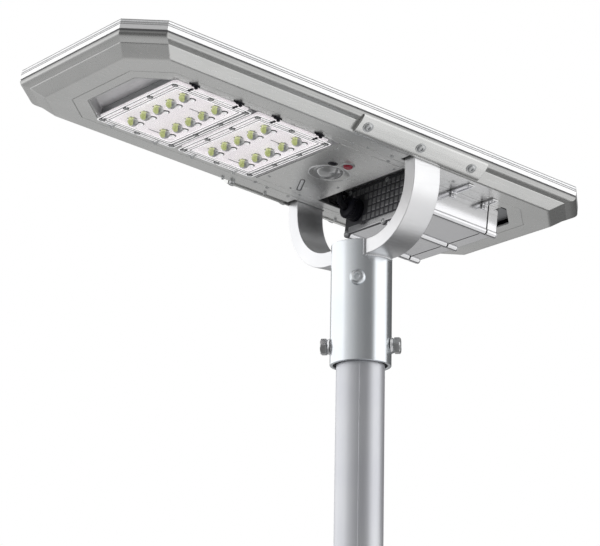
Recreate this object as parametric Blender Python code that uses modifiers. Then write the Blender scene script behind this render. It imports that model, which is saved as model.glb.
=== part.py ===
"""Solar street lamp: a long octagonal head with a solar panel, two LED modules and a battery box,
carried by a U-shaped yoke on a pole sleeve.

Metres, +Z up. The origin is on the pole's axis, at the cut end of the pole section.
The head has coordinates of its own: s along the head, v across it, w up from the rim plane.
"""

import math

import bmesh
import bpy
from mathutils import Matrix, Vector

MM = 0.001
GAP = 0.3 * MM

# ---------------------------------------------------------------- pole and sleeve
POLE_R = 30.0 * MM
POLE_WALL = 3.0 * MM
POLE_TOP = 356.0 * MM
SLEEVE_R = 38.0 * MM
SLEEVE_IN_R = 33.5 * MM
SLEEVE_BOTTOM = 233.2 * MM
SLEEVE_TOP = 386.0 * MM
TUBE_STEPS = 48
CLAMP_BOLT_Z = 258.5 * MM
CLAMP_BOLTS = (("left", 135.0), ("right", -45.0))
CLAMP_BOLT_R = 6.0 * MM
CLAMP_BOSS_R = 9.2 * MM
CLAMP_BOSS_HEIGHT = 2.4 * MM
SLEEVE_SCREW_Z = 336.4 * MM
SLEEVE_SCREW_AZIMUTH = -135.0
SLEEVE_SCREW_R = 5.0 * MM

# ---------------------------------------------------------------- yoke
YOKE_HALF_X = 20.35 * MM
YOKE_OUT_Y = 128.0 * MM
YOKE_IN_Y = 109.0 * MM
YOKE_FLAT_Y = 43.0 * MM
YOKE_BOTTOM = 366.1 * MM
YOKE_BEND_STEPS = 9
YOKE_TIP_CORNER = 7.0 * MM
TIP_ABOVE_PIVOT = 8.0 * MM

# ---------------------------------------------------------------- head placement
TILT = math.radians(6.5)
PIVOT = Vector((0.0, 0.0, 479.6 * MM))
PIVOT_S = 0.7 * MM
PIVOT_W = -6.0 * MM
PIVOT_BOLT_R = 4.0 * MM

# Octagons of the head: low s, high s, half width, corner cut
RIM = (-435.0 * MM, 265.5 * MM, 148.5 * MM, 39.0 * MM)
CREASE = (-424.7 * MM, 255.2 * MM, 138.0 * MM, 39.0 * MM)
PAN = (-411.3 * MM, 242.0 * MM, 124.0 * MM, 39.0 * MM)
OPENING = (-373.0 * MM, 202.0 * MM, 86.5 * MM, 36.0 * MM)
CREASE_W = -9.5 * MM
PAN_BOTTOM = -20.6 * MM
PAN_WALL = 2.5 * MM
PAN_SLOT_HALF_S = 24.4 * MM
PAN_FLOOR = PAN_BOTTOM + PAN_WALL + GAP
FLANGE = 1.8 * MM

# Panel stack: lowest and highest w of each layer
SEAL_W = (0.3 * MM, 1.3 * MM)
LOWER_FRAME_W = (1.6 * MM, 7.4 * MM)
UPPER_FRAME_W = (7.7 * MM, 13.8 * MM)
BACKSHEET_W = (7.9 * MM, 8.4 * MM)
CELLS_W = (8.7 * MM, 9.1 * MM)
GLASS_W = (9.4 * MM, 12.8 * MM)
PANEL_INSET = 6.4 * MM

# LED modules
TRAY_RIGHT = -99.6 * MM
TRAY_FLOOR = -9.0 * MM
MODULES = (("left", -284.0 * MM), ("right", -166.0 * MM))
MODULE_HALF_S = 57.0 * MM
MODULE_HALF_V = 85.0 * MM
HEAT_SINK_HEIGHT = 8.2 * MM
LED_BOARD_HEIGHT = 1.6 * MM
LED_HALF = 2.6 * MM
LED_HEIGHT = 0.8 * MM
LED_PITCH_V = 27.5 * MM
LED_ROW_S = 23.1 * MM
LENS_W = (-24.0 * MM, PAN_BOTTOM - GAP)
LENS_WALL = 2.4 * MM
LENS_DOME = (7.0 * MM, 8.2 * MM, 4.8 * MM)

# Sensor plate
SENSOR_S = (-99.0 * MM, -2.5 * MM)
SENSOR_TOP = PAN_FLOOR + FLANGE
MOTION_SENSOR_AT = (-50.0 * MM, 0.0)
BUTTON_AT = (-51.0 * MM, -39.0 * MM)
WINDOW_AT = (-67.0 * MM, -29.0 * MM)
WINDOW_R = 4.7 * MM
INSERT_AT = (-49.0 * MM, 61.0 * MM)
INSERT_ANGLE = math.radians(62.0)
INSERT_LENGTH = 37.5 * MM
INSERT_WIDTH = 5.0 * MM

# Battery box
BOX_S = (43.3 * MM, 141.7 * MM)
BOX_HALF_V = 80.0 * MM
BOX_W = (-56.5 * MM, 5.0 * MM)
BOX_WALL = 3.0 * MM
RIB_R = 5.0 * MM
RIB_V = (-76.0 * MM, 0.0, 76.0 * MM)
END_PLATE_S = (39.9 * MM, 42.1 * MM)
END_CAP_S = (143.3 * MM, 159.5 * MM)
CONNECTOR_AT = (58.0 * MM, -28.0 * MM)
CELL_R = 12.9 * MM
CELL_PITCH = 26.1 * MM
PACK_HALF_V = 66.5 * MM
BRACKETS = (
    ("near_left", -1, 84.0 * MM, 116.0 * MM),
    ("near_right", -1, 135.0 * MM, 102.0 * MM),
    ("far", 1, 50.0 * MM, 102.0 * MM),
)
BRACKET_DROP = 9.0 * MM
BRACKET_HALF = 5.0 * MM

# Side covers
COVER_S = (-114.0 * MM, 80.0 * MM)
COVER_SCREW_S = (-101.0 * MM, -20.0 * MM, 60.0 * MM)
COVER_SCREW_R = 2.3 * MM
COVER_FACE = (141.5 * MM, -14.3 * MM)
COVER_NORMAL = (0.652, -0.759)
COVER_SECTION = (
    (147.9, -5.3),
    (148.4, -3.4),
    (149.6, -3.4),
    (149.6, -5.8),
    (147.9, -8.8),
    (144.6, -11.64),
    (138.4, -16.96),
    (133.2, -20.9),
    (130.5, -21.9),
    (128.7, -21.9),
    (128.7, -17.4),
    (139.0, -9.4),
    (144.0, -7.4),
)

# Looks: colour, roughness, metallic
ALUMINIUM = ((0.66, 0.67, 0.68), 0.35, 0.9)
DARK_ALUMINIUM = ((0.50, 0.51, 0.52), 0.45, 0.9)
STEEL = ((0.58, 0.59, 0.60), 0.3, 1.0)
PAINT = ((0.78, 0.79, 0.80), 0.45, 0.1)
WHITE = ((0.88, 0.88, 0.88), 0.5, 0.0)
BLACK = ((0.02, 0.02, 0.022), 0.5, 0.0)
RUBBER = ((0.03, 0.03, 0.03), 0.8, 0.0)
CLEAR = ((0.9, 0.92, 0.92), 0.08, 0.0)
LED_WHITE = ((0.92, 0.90, 0.90), 0.4, 0.0)
GREEN = ((0.05, 0.25, 0.10), 0.5, 0.0)
CELL_BLUE = ((0.02, 0.03, 0.09), 0.3, 0.1)
SENSOR_WHITE = ((0.85, 0.86, 0.87), 0.4, 0.0)
RED = ((0.65, 0.02, 0.08), 0.35, 0.0)
PACK_BLUE = ((0.10, 0.35, 0.60), 0.5, 0.0)

# Turns of a flat outline, drawn in its own XY plane
ACROSS_HEAD = (math.pi / 2, 0.0, math.pi / 2)
ALONG_HEAD = (math.pi / 2, 0.0, 0.0)

PARTS = bpy.data.collections.new("solar_street_lamp")
CUTTERS = bpy.data.collections.new("cutters")


# ---------------------------------------------------------------- helpers
def material(name, look):
    """Principled material with one colour, roughness and metallic value."""
    colour, roughness, metallic = look
    mat = bpy.data.materials.new(name)
    mat.use_nodes = True
    shader = mat.node_tree.nodes["Principled BSDF"]
    shader.inputs["Base Color"].default_value = (*colour, 1.0)
    shader.inputs["Roughness"].default_value = roughness
    shader.inputs["Metallic"].default_value = metallic
    mat.diffuse_color = (*colour, 1.0)
    return mat


def place(name, data, look, parent, location=(0, 0, 0), rotation=(0, 0, 0)):
    """Object of the lamp; with no look it is a cutter or a piece to join."""
    obj = bpy.data.objects.new(name, data)
    obj.parent = parent
    obj.location = location
    obj.rotation_euler = rotation
    if look is None:
        CUTTERS.objects.link(obj)
        obj.hide_render = True
        obj.display_type = "WIRE"
    else:
        PARTS.objects.link(obj)
        data.materials.append(material(name, look))
    return obj


def mesh_from(name, bm):
    """Mesh of a finished bmesh, with its faces pointing out."""
    bmesh.ops.recalc_face_normals(bm, faces=bm.faces)
    mesh = bpy.data.meshes.new(name)
    bm.to_mesh(mesh)
    bm.free()
    return mesh


def pointing(direction):
    """Rotation that turns local Z to a direction."""
    return Vector(direction).to_track_quat("Z", "Y").to_euler()


def empty(name, parent, location, rotation=(0, 0, 0)):
    obj = bpy.data.objects.new(name, None)
    PARTS.objects.link(obj)
    obj.parent = parent
    obj.location = location
    obj.rotation_euler = rotation
    return obj


def combine(obj, other, operation):
    """Boolean with another solid."""
    modifier = obj.modifiers.new(other.name, "BOOLEAN")
    modifier.operation = operation
    modifier.object = other


def round_edges(obj, width, segments=2):
    modifier = obj.modifiers.new("round_edges", "BEVEL")
    modifier.width = width
    modifier.segments = segments
    modifier.limit_method = "ANGLE"


def boxes(name, corners, look, parent):
    """One mesh of axis-aligned boxes, each given by its low and high corner."""
    bm = bmesh.new()
    for low, high in corners:
        low = Vector(low)
        size = Vector(high) - low
        matrix = Matrix.Translation(low + size / 2) @ Matrix.Diagonal((*size, 1.0))
        bmesh.ops.create_cube(bm, size=1.0, matrix=matrix)
    return place(name, mesh_from(name, bm), look, parent)


def rods(name, starts, direction, length, radius, parent, steps=24):
    """Cutter of parallel round rods."""
    rotation = pointing(direction).to_matrix().to_4x4()
    middle = Vector(direction).normalized() * length / 2
    bm = bmesh.new()
    for start in starts:
        matrix = Matrix.Translation(Vector(start) + middle) @ rotation
        bmesh.ops.create_cone(
            bm, cap_ends=True, segments=steps, radius1=radius, radius2=radius, depth=length, matrix=matrix
        )
    return place(name, mesh_from(name, bm), None, parent)


def turned(name, profile, look, parent, location=(0, 0, 0), direction=(0, 0, 1), steps=24):
    """Turned piece. Its profile of (radius, height) runs from the top down the outer side;
    one that starts off the axis closes on itself, and makes a ring."""
    edges = [(i, i + 1) for i in range(len(profile) - 1)]
    if profile[0][0] > 0.0:
        edges.append((len(profile) - 1, 0))
    mesh = bpy.data.meshes.new(name)
    mesh.from_pydata([(radius, 0.0, height) for radius, height in profile], edges, [])
    obj = place(name, mesh, look, parent, location, pointing(direction))
    screw = obj.modifiers.new("turn", "SCREW")
    screw.steps = steps
    screw.render_steps = steps
    screw.use_merge_vertices = True
    screw.merge_threshold = 0.00001
    return obj


def plate(name, outlines, thickness, look, parent, location=(0, 0, 0), rotation=(0, 0, 0)):
    """Flat outline with thickness; outlines after the first are holes."""
    curve = bpy.data.curves.new(name, "CURVE")
    curve.dimensions = "2D"
    curve.fill_mode = "BOTH"
    curve.extrude = thickness / 2
    for outline in outlines:
        spline = curve.splines.new("POLY")
        spline.points.add(len(outline) - 1)
        for point, (x, y) in zip(spline.points, outline):
            point.co = (x, y, 0.0, 1.0)
        spline.use_cyclic_u = True
    return place(name, curve, look, parent, location, rotation)


def to_mesh(curve_object, look):
    """Replace a curve object with the same shape as a welded mesh, which can be cut."""
    bpy.context.view_layer.update()
    graph = bpy.context.evaluated_depsgraph_get()
    mesh = bpy.data.meshes.new_from_object(curve_object.evaluated_get(graph))
    mesh.materials.clear()
    bm = bmesh.new()
    bm.from_mesh(mesh)
    bmesh.ops.remove_doubles(bm, verts=bm.verts, dist=0.000001)
    bm.to_mesh(mesh)
    bm.free()
    name = curve_object.name
    parent = curve_object.parent
    matrix = curve_object.matrix_world.copy()
    bpy.data.objects.remove(curve_object)
    obj = place(name, mesh, look, parent)
    obj.matrix_world = matrix
    return obj


def cable(name, points, radius, look, parent):
    """Round cable through a list of points."""
    curve = bpy.data.curves.new(name, "CURVE")
    curve.dimensions = "3D"
    curve.bevel_depth = radius
    curve.bevel_resolution = 2
    curve.use_fill_caps = True
    spline = curve.splines.new("POLY")
    spline.points.add(len(points) - 1)
    for point, position in zip(spline.points, points):
        point.co = (*position, 1.0)
    return place(name, curve, look, parent)


def smooth_path(stops, steps):
    """Catmull-Rom points through a list of positions in millimetres."""
    stops = [Vector(stop) * MM for stop in stops]
    stops = [stops[0] * 2 - stops[1]] + stops + [stops[-1] * 2 - stops[-2]]
    path = []
    for p0, p1, p2, p3 in zip(stops, stops[1:], stops[2:], stops[3:]):
        for k in range(steps):
            t = k / steps
            a = p1 * 2
            b = (p2 - p0) * t
            c = (p0 * 2 - p1 * 5 + p2 * 4 - p3) * t * t
            d = (p1 * 3 - p0 - p2 * 3 + p3) * t * t * t
            path.append((a + b + c + d) * 0.5)
    path.append(stops[-2])
    return path


def loft(bm, loops, ring=False, caps=True):
    """Skin between unlike outlines of as many points; a ring closes the last on the first."""
    rows = [[bm.verts.new(point) for point in loop] for loop in loops]
    pairs = list(zip(rows, rows[1:]))
    if ring:
        pairs.append((rows[-1], rows[0]))
    count = len(rows[0])
    for low, high in pairs:
        for i in range(count):
            j = (i + 1) % count
            bm.faces.new((low[i], low[j], high[j], high[i]))
    if caps and not ring:
        bm.faces.new(rows[0])
        bm.faces.new(rows[-1])


def octagon(dims, inset=0.0):
    """Corners of one of the head's octagons."""
    low_s, high_s, half, corner = dims
    low_s += inset
    high_s -= inset
    half -= inset
    return [
        (low_s, -half + corner),
        (low_s + corner, -half),
        (high_s - corner, -half),
        (high_s, -half + corner),
        (high_s, half - corner),
        (high_s - corner, half),
        (low_s + corner, half),
        (low_s, half - corner),
    ]


def tray_outline(inset):
    """Left part of the opening's octagon, cut square on its right; its flange stops at the cut."""
    low_s, _, half, corner = OPENING
    low_s += inset
    right = TRAY_RIGHT - max(inset, GAP)
    half -= inset
    return [
        (low_s, -half + corner),
        (low_s + corner, -half),
        (right, -half),
        (right, half),
        (low_s + corner, half),
        (low_s, half - corner),
    ]


def at_level(outline, w):
    return [(s, v, w) for s, v in outline]


def frame(name, section, look, parent):
    """Mitred frame round the head: its section is (w, inset from the rim)."""
    bm = bmesh.new()
    loft(bm, [at_level(octagon(RIM, inset), w) for w, inset in section], ring=True)
    return place(name, mesh_from(name, bm), look, parent)


def arc(centre, radius, first, last, steps):
    """Points on an arc, angles in degrees."""
    points = []
    for k in range(steps + 1):
        a = math.radians(first + (last - first) * k / steps)
        points.append((centre[0] + radius * math.cos(a), centre[1] + radius * math.sin(a)))
    return points


def hexagon(across):
    return arc((0, 0), across / math.sqrt(3.0), 0, 300, 5)


def screw(name, radius, height, shank_radius, shank, look, parent, location, direction, steps=14):
    """Pan-head screw: its location is under the head, and its direction points out."""
    profile = (
        (0.0, height),
        (radius * 0.6, height),
        (radius, height * 0.55),
        (radius, 0.0),
        (shank_radius, 0.0),
        (shank_radius, -shank),
        (0.0, -shank),
    )
    return turned(name, profile, look, parent, location, direction, steps)


def hex_bolt(name, across, height, shank_radius, shank, parent, location, direction):
    """Hexagon bolt: its location is under the head, and its direction points out."""
    corner = across / math.sqrt(3.0)
    bm = bmesh.new()
    bmesh.ops.create_cone(
        bm,
        cap_ends=True,
        segments=6,
        radius1=corner,
        radius2=corner,
        depth=height,
        matrix=Matrix.Translation((0, 0, height / 2)),
    )
    bolt = place(name, mesh_from(name, bm), STEEL, parent, location, pointing(direction))
    profile = ((0.0, height / 2), (shank_radius, height / 2), (shank_radius, -shank), (0.0, -shank))
    shaft = turned(name + "_shank", profile, None, parent, location, direction, 20)
    combine(bolt, shaft, "UNION")


# ---------------------------------------------------------------- pole, sleeve, yoke
def tube_profile(radius, inner_radius, low, high):
    return ((radius, high), (radius, low), (inner_radius, low), (inner_radius, high))


def radial(azimuth, distance, z):
    """Position at a distance from the pole's axis."""
    a = math.radians(azimuth)
    return Vector((distance * math.cos(a), distance * math.sin(a), z))


def build_pole():
    profile = tube_profile(POLE_R, POLE_R - POLE_WALL, 0.0, POLE_TOP)
    turned("pole_tube", profile, PAINT, None, steps=TUBE_STEPS)


def build_sleeve(parent):
    profile = tube_profile(SLEEVE_R, SLEEVE_IN_R, SLEEVE_BOTTOM, SLEEVE_TOP)
    sleeve = turned("sleeve_tube", profile, PAINT, parent, steps=TUBE_STEPS)
    half = YOKE_HALF_X + GAP
    low = (-half, -50 * MM, YOKE_BOTTOM - GAP)
    high = (half, 50 * MM, SLEEVE_TOP + 10 * MM)
    combine(sleeve, boxes("sleeve_slot", [(low, high)], None, parent), "DIFFERENCE")

    inside = POLE_R + GAP
    holes = [(name, azimuth, CLAMP_BOLT_Z, CLAMP_BOLT_R) for name, azimuth in CLAMP_BOLTS]
    holes.append(("screw", SLEEVE_SCREW_AZIMUTH, SLEEVE_SCREW_Z, SLEEVE_SCREW_R))
    for name, azimuth, z, radius in holes:
        start = radial(azimuth, inside, z)
        hole = rods("sleeve_hole_" + name, [start], radial(azimuth, 1, 0), 14 * MM, radius + GAP, parent)
        combine(sleeve, hole, "DIFFERENCE")

    under_head = SLEEVE_R + GAP + CLAMP_BOSS_HEIGHT + GAP
    for name, azimuth in CLAMP_BOLTS:
        out = radial(azimuth, 1, 0)
        ring = tube_profile(CLAMP_BOSS_R, CLAMP_BOLT_R + GAP, 0.0, CLAMP_BOSS_HEIGHT)
        at = radial(azimuth, SLEEVE_R + GAP, CLAMP_BOLT_Z)
        turned("clamp_boss_" + name, ring, STEEL, parent, at, out)
        at = radial(azimuth, under_head, CLAMP_BOLT_Z)
        shank = under_head - inside
        hex_bolt("clamp_bolt_" + name, 18.6 * MM, 8.2 * MM, CLAMP_BOLT_R, shank, parent, at, out)

    at = radial(SLEEVE_SCREW_AZIMUTH, SLEEVE_R + GAP, SLEEVE_SCREW_Z)
    shank = SLEEVE_R - POLE_R
    out = radial(SLEEVE_SCREW_AZIMUTH, 1, 0)
    screw("sleeve_screw", 10 * MM, 5.5 * MM, SLEEVE_SCREW_R, shank, STEEL, parent, at, out, steps=24)


def yoke_outline():
    """Outline of the bent band across the head: the outer edge, then the inner edge back."""
    edges = []
    for offset in (0.0, YOKE_OUT_Y - YOKE_IN_Y):
        radius = YOKE_OUT_Y - YOKE_FLAT_Y - offset
        centre = (YOKE_FLAT_Y, YOKE_BOTTOM + YOKE_OUT_Y - YOKE_FLAT_Y)
        half = [(YOKE_OUT_Y - offset, PIVOT.z + TIP_ABOVE_PIVOT)]
        half.extend(arc(centre, radius, 0, -90, YOKE_BEND_STEPS))
        edges.append(half + [(-y, z) for y, z in reversed(half)])
    return edges[0] + edges[1][::-1]


def build_yoke(parent):
    yoke = plate("yoke", [yoke_outline()], 2 * YOKE_HALF_X, ALUMINIUM, parent, rotation=ACROSS_HEAD)
    yoke = to_mesh(yoke, ALUMINIUM)
    radius = PIVOT_BOLT_R + GAP
    holes = rods("yoke_holes", [(0, -140 * MM, PIVOT.z)], (0, 1, 0), 280 * MM, radius, parent)
    combine(yoke, holes, "DIFFERENCE")
    top = PIVOT.z + TIP_ABOVE_PIVOT
    bm = bmesh.new()
    for side in (-1, 1):
        matrix = (
            Matrix.Translation((side * YOKE_HALF_X, 0, top))
            @ Matrix.Rotation(math.pi / 4, 4, "Y")
            @ Matrix.Diagonal((YOKE_TIP_CORNER * math.sqrt(2), 280 * MM, YOKE_TIP_CORNER * math.sqrt(2), 1))
        )
        bmesh.ops.create_cube(bm, size=1.0, matrix=matrix)
    corners = place("yoke_corners", mesh_from("yoke_corners", bm), None, parent)
    combine(yoke, corners, "DIFFERENCE")


# ---------------------------------------------------------------- head shell
def build_pan(parent):
    """Pressed pan: an open skin from the rim down to the opening, with a wall thickness."""
    levels = (
        (RIM, 0.0, 0.0),
        (RIM, -1.6 * MM, 0.0),
        (RIM, -4.6 * MM, 1.9 * MM),
        (RIM, -7.3 * MM, 5.6 * MM),
        (CREASE, CREASE_W, 0.0),
        (PAN, PAN_BOTTOM, 0.0),
        (OPENING, PAN_BOTTOM, 0.0),
    )
    bm = bmesh.new()
    loft(bm, [at_level(octagon(dims, inset), w) for dims, w, inset in levels], caps=False)
    pan = place("pan_shell", mesh_from("pan_shell", bm), ALUMINIUM, parent)
    wall = pan.modifiers.new("wall", "SOLIDIFY")
    wall.thickness = PAN_WALL
    wall.offset = -1.0
    wall.use_even_offset = True

    slots = []
    windows = []
    for side in (-1, 1):
        near, far = sorted((side * (YOKE_IN_Y - 1.2 * MM), side * 135 * MM))
        low_s = PIVOT_S - PAN_SLOT_HALF_S
        high_s = PIVOT_S + PAN_SLOT_HALF_S
        slots.append(((low_s, near, -26 * MM), (high_s, far, -12 * MM)))
        near, far = sorted((side * 126.5 * MM, side * 156 * MM))
        low_s = COVER_S[0] + 24 * MM
        high_s = COVER_S[1] - 34 * MM
        windows.append(((low_s, near, -15.5 * MM), (high_s, far, -3.4 * MM)))
    combine(pan, boxes("pan_slots", slots, None, parent), "DIFFERENCE")
    combine(pan, boxes("pan_windows", windows, None, parent), "DIFFERENCE")
    for side in (-1, 1):
        name = "pan_holes_" + side_name(side)
        starts = [cover_point(side, s, -12 * MM) for s in (COVER_SCREW_S[0], COVER_SCREW_S[2])]
        radius = COVER_SCREW_R + GAP
        combine(pan, rods(name, starts, cover_normal(side), 24 * MM, radius, parent, 12), "DIFFERENCE")


def side_name(side):
    return "near" if side < 0 else "far"


def cover_normal(side):
    return Vector((0, side * COVER_NORMAL[0], COVER_NORMAL[1]))


def cover_point(side, s, height=0.0):
    """Point over a side cover's outer face, at a height along its normal."""
    return Vector((s, side * COVER_FACE[0], COVER_FACE[1])) + cover_normal(side) * height


def build_covers(parent):
    middle = sum(COVER_S) / 2
    length = COVER_S[1] - COVER_S[0]
    for side in (-1, 1):
        name = side_name(side)
        section = [(side * v * MM, w * MM) for v, w in COVER_SECTION]
        cover = plate("side_cover_" + name, [section], length, ALUMINIUM, parent, (middle, 0, 0), ACROSS_HEAD)
        cover = to_mesh(cover, ALUMINIUM)
        starts = [cover_point(side, s, -12 * MM) for s in COVER_SCREW_S]
        radius = COVER_SCREW_R + GAP
        holes = rods("cover_holes_" + name, starts, cover_normal(side), 24 * MM, radius, parent, 12)
        combine(cover, holes, "DIFFERENCE")
        for number, s in enumerate(COVER_SCREW_S, 1):
            label = "cover_screw_%s_%d" % (name, number)
            at = cover_point(side, s, GAP)
            normal = cover_normal(side)
            screw(label, 5.2 * MM, 2.6 * MM, COVER_SCREW_R, 8 * MM, STEEL, parent, at, normal)


def build_panel(parent):
    low, high = SEAL_W
    middle = (low + high) / 2
    outlines = [octagon(RIM, 0.4 * MM), octagon(RIM, 2.4 * MM)]
    plate("panel_seal", outlines, high - low, RUBBER, parent, (0, 0, middle))

    low, high = LOWER_FRAME_W
    section = (
        (low, 0.2 * MM),
        (high, 0.2 * MM),
        (high, 14.0 * MM),
        (high - 1.6 * MM, 14.0 * MM),
        (high - 2.0 * MM, 5.0 * MM),
        (low, 4.0 * MM),
    )
    frame("panel_frame_lower", section, WHITE, parent)

    low, high = UPPER_FRAME_W
    section = (
        (low, 0.9 * MM),
        (low + 2.4 * MM, 0.4 * MM),
        (high - 0.8 * MM, 0.9 * MM),
        (high, 2.0 * MM),
        (high, 11.0 * MM),
        (high - 0.7 * MM, 11.0 * MM),
        (high - 0.7 * MM, PANEL_INSET - 0.4 * MM),
        (low, PANEL_INSET - 0.4 * MM),
    )
    frame("panel_frame_upper", section, ALUMINIUM, parent)

    layers = (
        ("panel_backsheet", BACKSHEET_W, WHITE),
        ("solar_cell_layer", CELLS_W, CELL_BLUE),
        ("panel_glass", GLASS_W, CLEAR),
    )
    for name, (low, high), look in layers:
        plate(name, [octagon(RIM, PANEL_INSET)], high - low, look, parent, (0, 0, (low + high) / 2))

    low = (170 * MM, -32 * MM, -8 * MM)
    high = (222 * MM, 32 * MM, BACKSHEET_W[0] - GAP)
    box = boxes("junction_box", [(low, high)], BLACK, parent)
    round_edges(box, 2 * MM)

    stops = (
        (196, 32.4, 0),
        (196, 52, 0),
        (184, 74, -5),
        (168, 85, -8),
        (140, 87.6, -8.4),
        (100, 88, -7.4),
        (60, 87.6, -1.5),
        (24, 83, 3.2),
        (6, 78, 2.4),
        (-5, 76, 0.8),
        (-13.2, 76, 0.6),
    )
    cable("panel_lead", smooth_path(stops, 3), 2.2 * MM, BLACK, parent)


# ---------------------------------------------------------------- LED side
def build_tray(parent):
    """Recessed tray: an outer skin up to its floor, and an inner skin back down."""
    top = PAN_FLOOR + FLANGE
    section = (
        (TRAY_FLOOR, 3.2 * MM),
        (PAN_BOTTOM, 2.0 * MM),
        (PAN_BOTTOM, GAP),
        (PAN_FLOOR, GAP),
        (PAN_FLOOR, -7.0 * MM),
        (top, -7.0 * MM),
        (top, 0.9 * MM),
        (TRAY_FLOOR + 2.0 * MM, 1.4 * MM),
    )
    bm = bmesh.new()
    loft(bm, [at_level(tray_outline(inset), w) for w, inset in section])
    place("led_tray", mesh_from("led_tray", bm), ALUMINIUM, parent)


def led_places(centre):
    """Centres of one module's LEDs: two rows of five."""
    return [(centre + row * LED_ROW_S, k * LED_PITCH_V) for row in (-1, 1) for k in range(-2, 3)]


def slab(centre, inset, low, high):
    """Box the size of one LED module, less an inset."""
    half_s = MODULE_HALF_S - inset
    half_v = MODULE_HALF_V - inset
    return ((centre - half_s, -half_v, low), (centre + half_s, half_v, high))


def build_modules(parent):
    sink_top = TRAY_FLOOR - GAP
    board_top = sink_top - HEAT_SINK_HEIGHT - GAP
    board_bottom = board_top - LED_BOARD_HEIGHT
    low, high = LENS_W
    for name, centre in MODULES:
        bounds = slab(centre, 5 * MM, sink_top - HEAT_SINK_HEIGHT, sink_top)
        boxes("led_heat_sink_" + name, [bounds], ALUMINIUM, parent)

        board = boxes("led_board_" + name, [slab(centre, 4 * MM, board_bottom, board_top)], LED_WHITE, parent)
        chips = []
        for s, v in led_places(centre):
            corner = (s - LED_HALF, v - LED_HALF, board_bottom - LED_HEIGHT)
            chips.append((corner, (s + LED_HALF, v + LED_HALF, board_bottom + LED_HEIGHT)))
        combine(board, boxes("led_chips_" + name, chips, None, parent), "UNION")

        lens = boxes("lens_plate_" + name, [slab(centre, 0.0, low, high)], CLEAR, parent)
        round_edges(lens, 0.8 * MM, 1)
        bm = bmesh.new()
        for s, v in led_places(centre):
            matrix = Matrix.Translation((s, v, low)) @ Matrix.Diagonal((*LENS_DOME, 1.0))
            bmesh.ops.create_uvsphere(bm, u_segments=12, v_segments=6, radius=1.0, matrix=matrix)
        domes = place("lens_domes_" + name, mesh_from("lens_domes", bm), None, parent)
        combine(lens, domes, "UNION")
        inside = slab(centre, 3.2 * MM, low + LENS_WALL, high + 3 * MM)
        combine(lens, boxes("lens_inside_" + name, [inside], None, parent), "DIFFERENCE")


# ---------------------------------------------------------------- sensors and switch
def oblong(length, width, steps=6):
    """Flat outline with round ends."""
    radius = width / 2
    reach = length / 2 - radius
    return arc((reach, 0), radius, -90, 90, steps) + arc((-reach, 0), radius, 90, 270, steps)


def on_plate(at, w=PAN_BOTTOM):
    return (at[0], at[1], w)


def mm_profile(points):
    return [(radius * MM, height * MM) for radius, height in points]


def build_sensor(parent):
    edge = OPENING[2] - GAP
    wing = edge + 8 * MM
    low_s, high_s = SENSOR_S
    body = ((low_s, -edge, PAN_BOTTOM), (high_s, edge, SENSOR_TOP))
    base = boxes("sensor_plate", [body], ALUMINIUM, parent)
    flange = ((low_s, -wing, PAN_FLOOR), (high_s, wing, SENSOR_TOP))
    combine(base, boxes("sensor_flange", [flange], None, parent), "UNION")

    dish = mm_profile(((0, 7), (17.4, 7), (17.4, 3.2), (19.5, 3.2), (25.0, 0), (26.0, -1), (0, -1)))
    cutter = turned("sensor_dish", dish, None, parent, on_plate(MOTION_SENSOR_AT), steps=32)
    combine(base, cutter, "DIFFERENCE")
    below = PAN_BOTTOM - 2 * MM
    for name, at, radius in (("button", BUTTON_AT, 6.9 * MM), ("window", WINDOW_AT, WINDOW_R + GAP)):
        hole = rods("sensor_hole_" + name, [on_plate(at, below)], (0, 0, 1), 12 * MM, radius, parent)
        combine(base, hole, "DIFFERENCE")
    turn = (0, 0, INSERT_ANGLE)
    outline = oblong(INSERT_LENGTH, INSERT_WIDTH)
    groove = plate("sensor_groove", [outline], 4 * MM, None, parent, on_plate(INSERT_AT), turn)
    combine(base, to_mesh(groove, None), "DIFFERENCE")
    height = PAN_BOTTOM + 1.05 * MM
    outline = oblong(INSERT_LENGTH - 2 * GAP, INSERT_WIDTH - 2 * GAP)
    plate("status_insert", [outline], 1.3 * MM, DARK_ALUMINIUM, parent, on_plate(INSERT_AT, height), turn)

    profile = mm_profile(
        (
            (0, -1.0),
            (12.0, 0.5),
            (14.5, 6.4),
            (20.0, 6.4),
            (20.0, 4.9),
            (17.0, 4.9),
            (17.0, 3.0),
            (16.2, 0.4),
            (13.6, -2.8),
            (8.6, -5.2),
            (0, -6.2),
        )
    )
    turned("motion_sensor_lens", profile, SENSOR_WHITE, parent, on_plate(MOTION_SENSOR_AT))
    profile = mm_profile(((0, 4.6), (4.7, 4.6), (4.7, -0.4), (3.4, -1.4), (0, -1.4)))
    turned("light_sensor_window", profile, BLACK, parent, on_plate(WINDOW_AT), steps=20)
    profile = mm_profile(((6.6, 4.1), (6.6, -0.3), (8.6, -0.3), (8.2, -1.3), (6.2, -1.5), (6.2, 4.1)))
    turned("button_bezel", profile, STEEL, parent, on_plate(BUTTON_AT))

    board_low = SENSOR_TOP + 2.4 * MM
    low = (-84 * MM, -52 * MM, board_low)
    high = (-34 * MM, 22 * MM, board_low + 1.6 * MM)
    boxes("sensor_board", [(low, high)], GREEN, parent)
    half = 3.2 * MM
    low = (BUTTON_AT[0] - half, BUTTON_AT[1] - half, board_low - GAP - 2.7 * MM)
    high = (BUTTON_AT[0] + half, BUTTON_AT[1] + half, board_low - GAP)
    boxes("button_switch", [(low, high)], BLACK, parent)


def build_button(parent):
    """Power button, which moves along the head's normal."""
    axis = empty("button_axis", parent, on_plate(BUTTON_AT))
    profile = mm_profile(((0, 1.6), (5.9, 1.6), (5.9, -2.9), (5.1, -3.7), (2.4, -4.0), (0, -4.0)))
    turned("power_button", profile, RED, axis)


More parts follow.
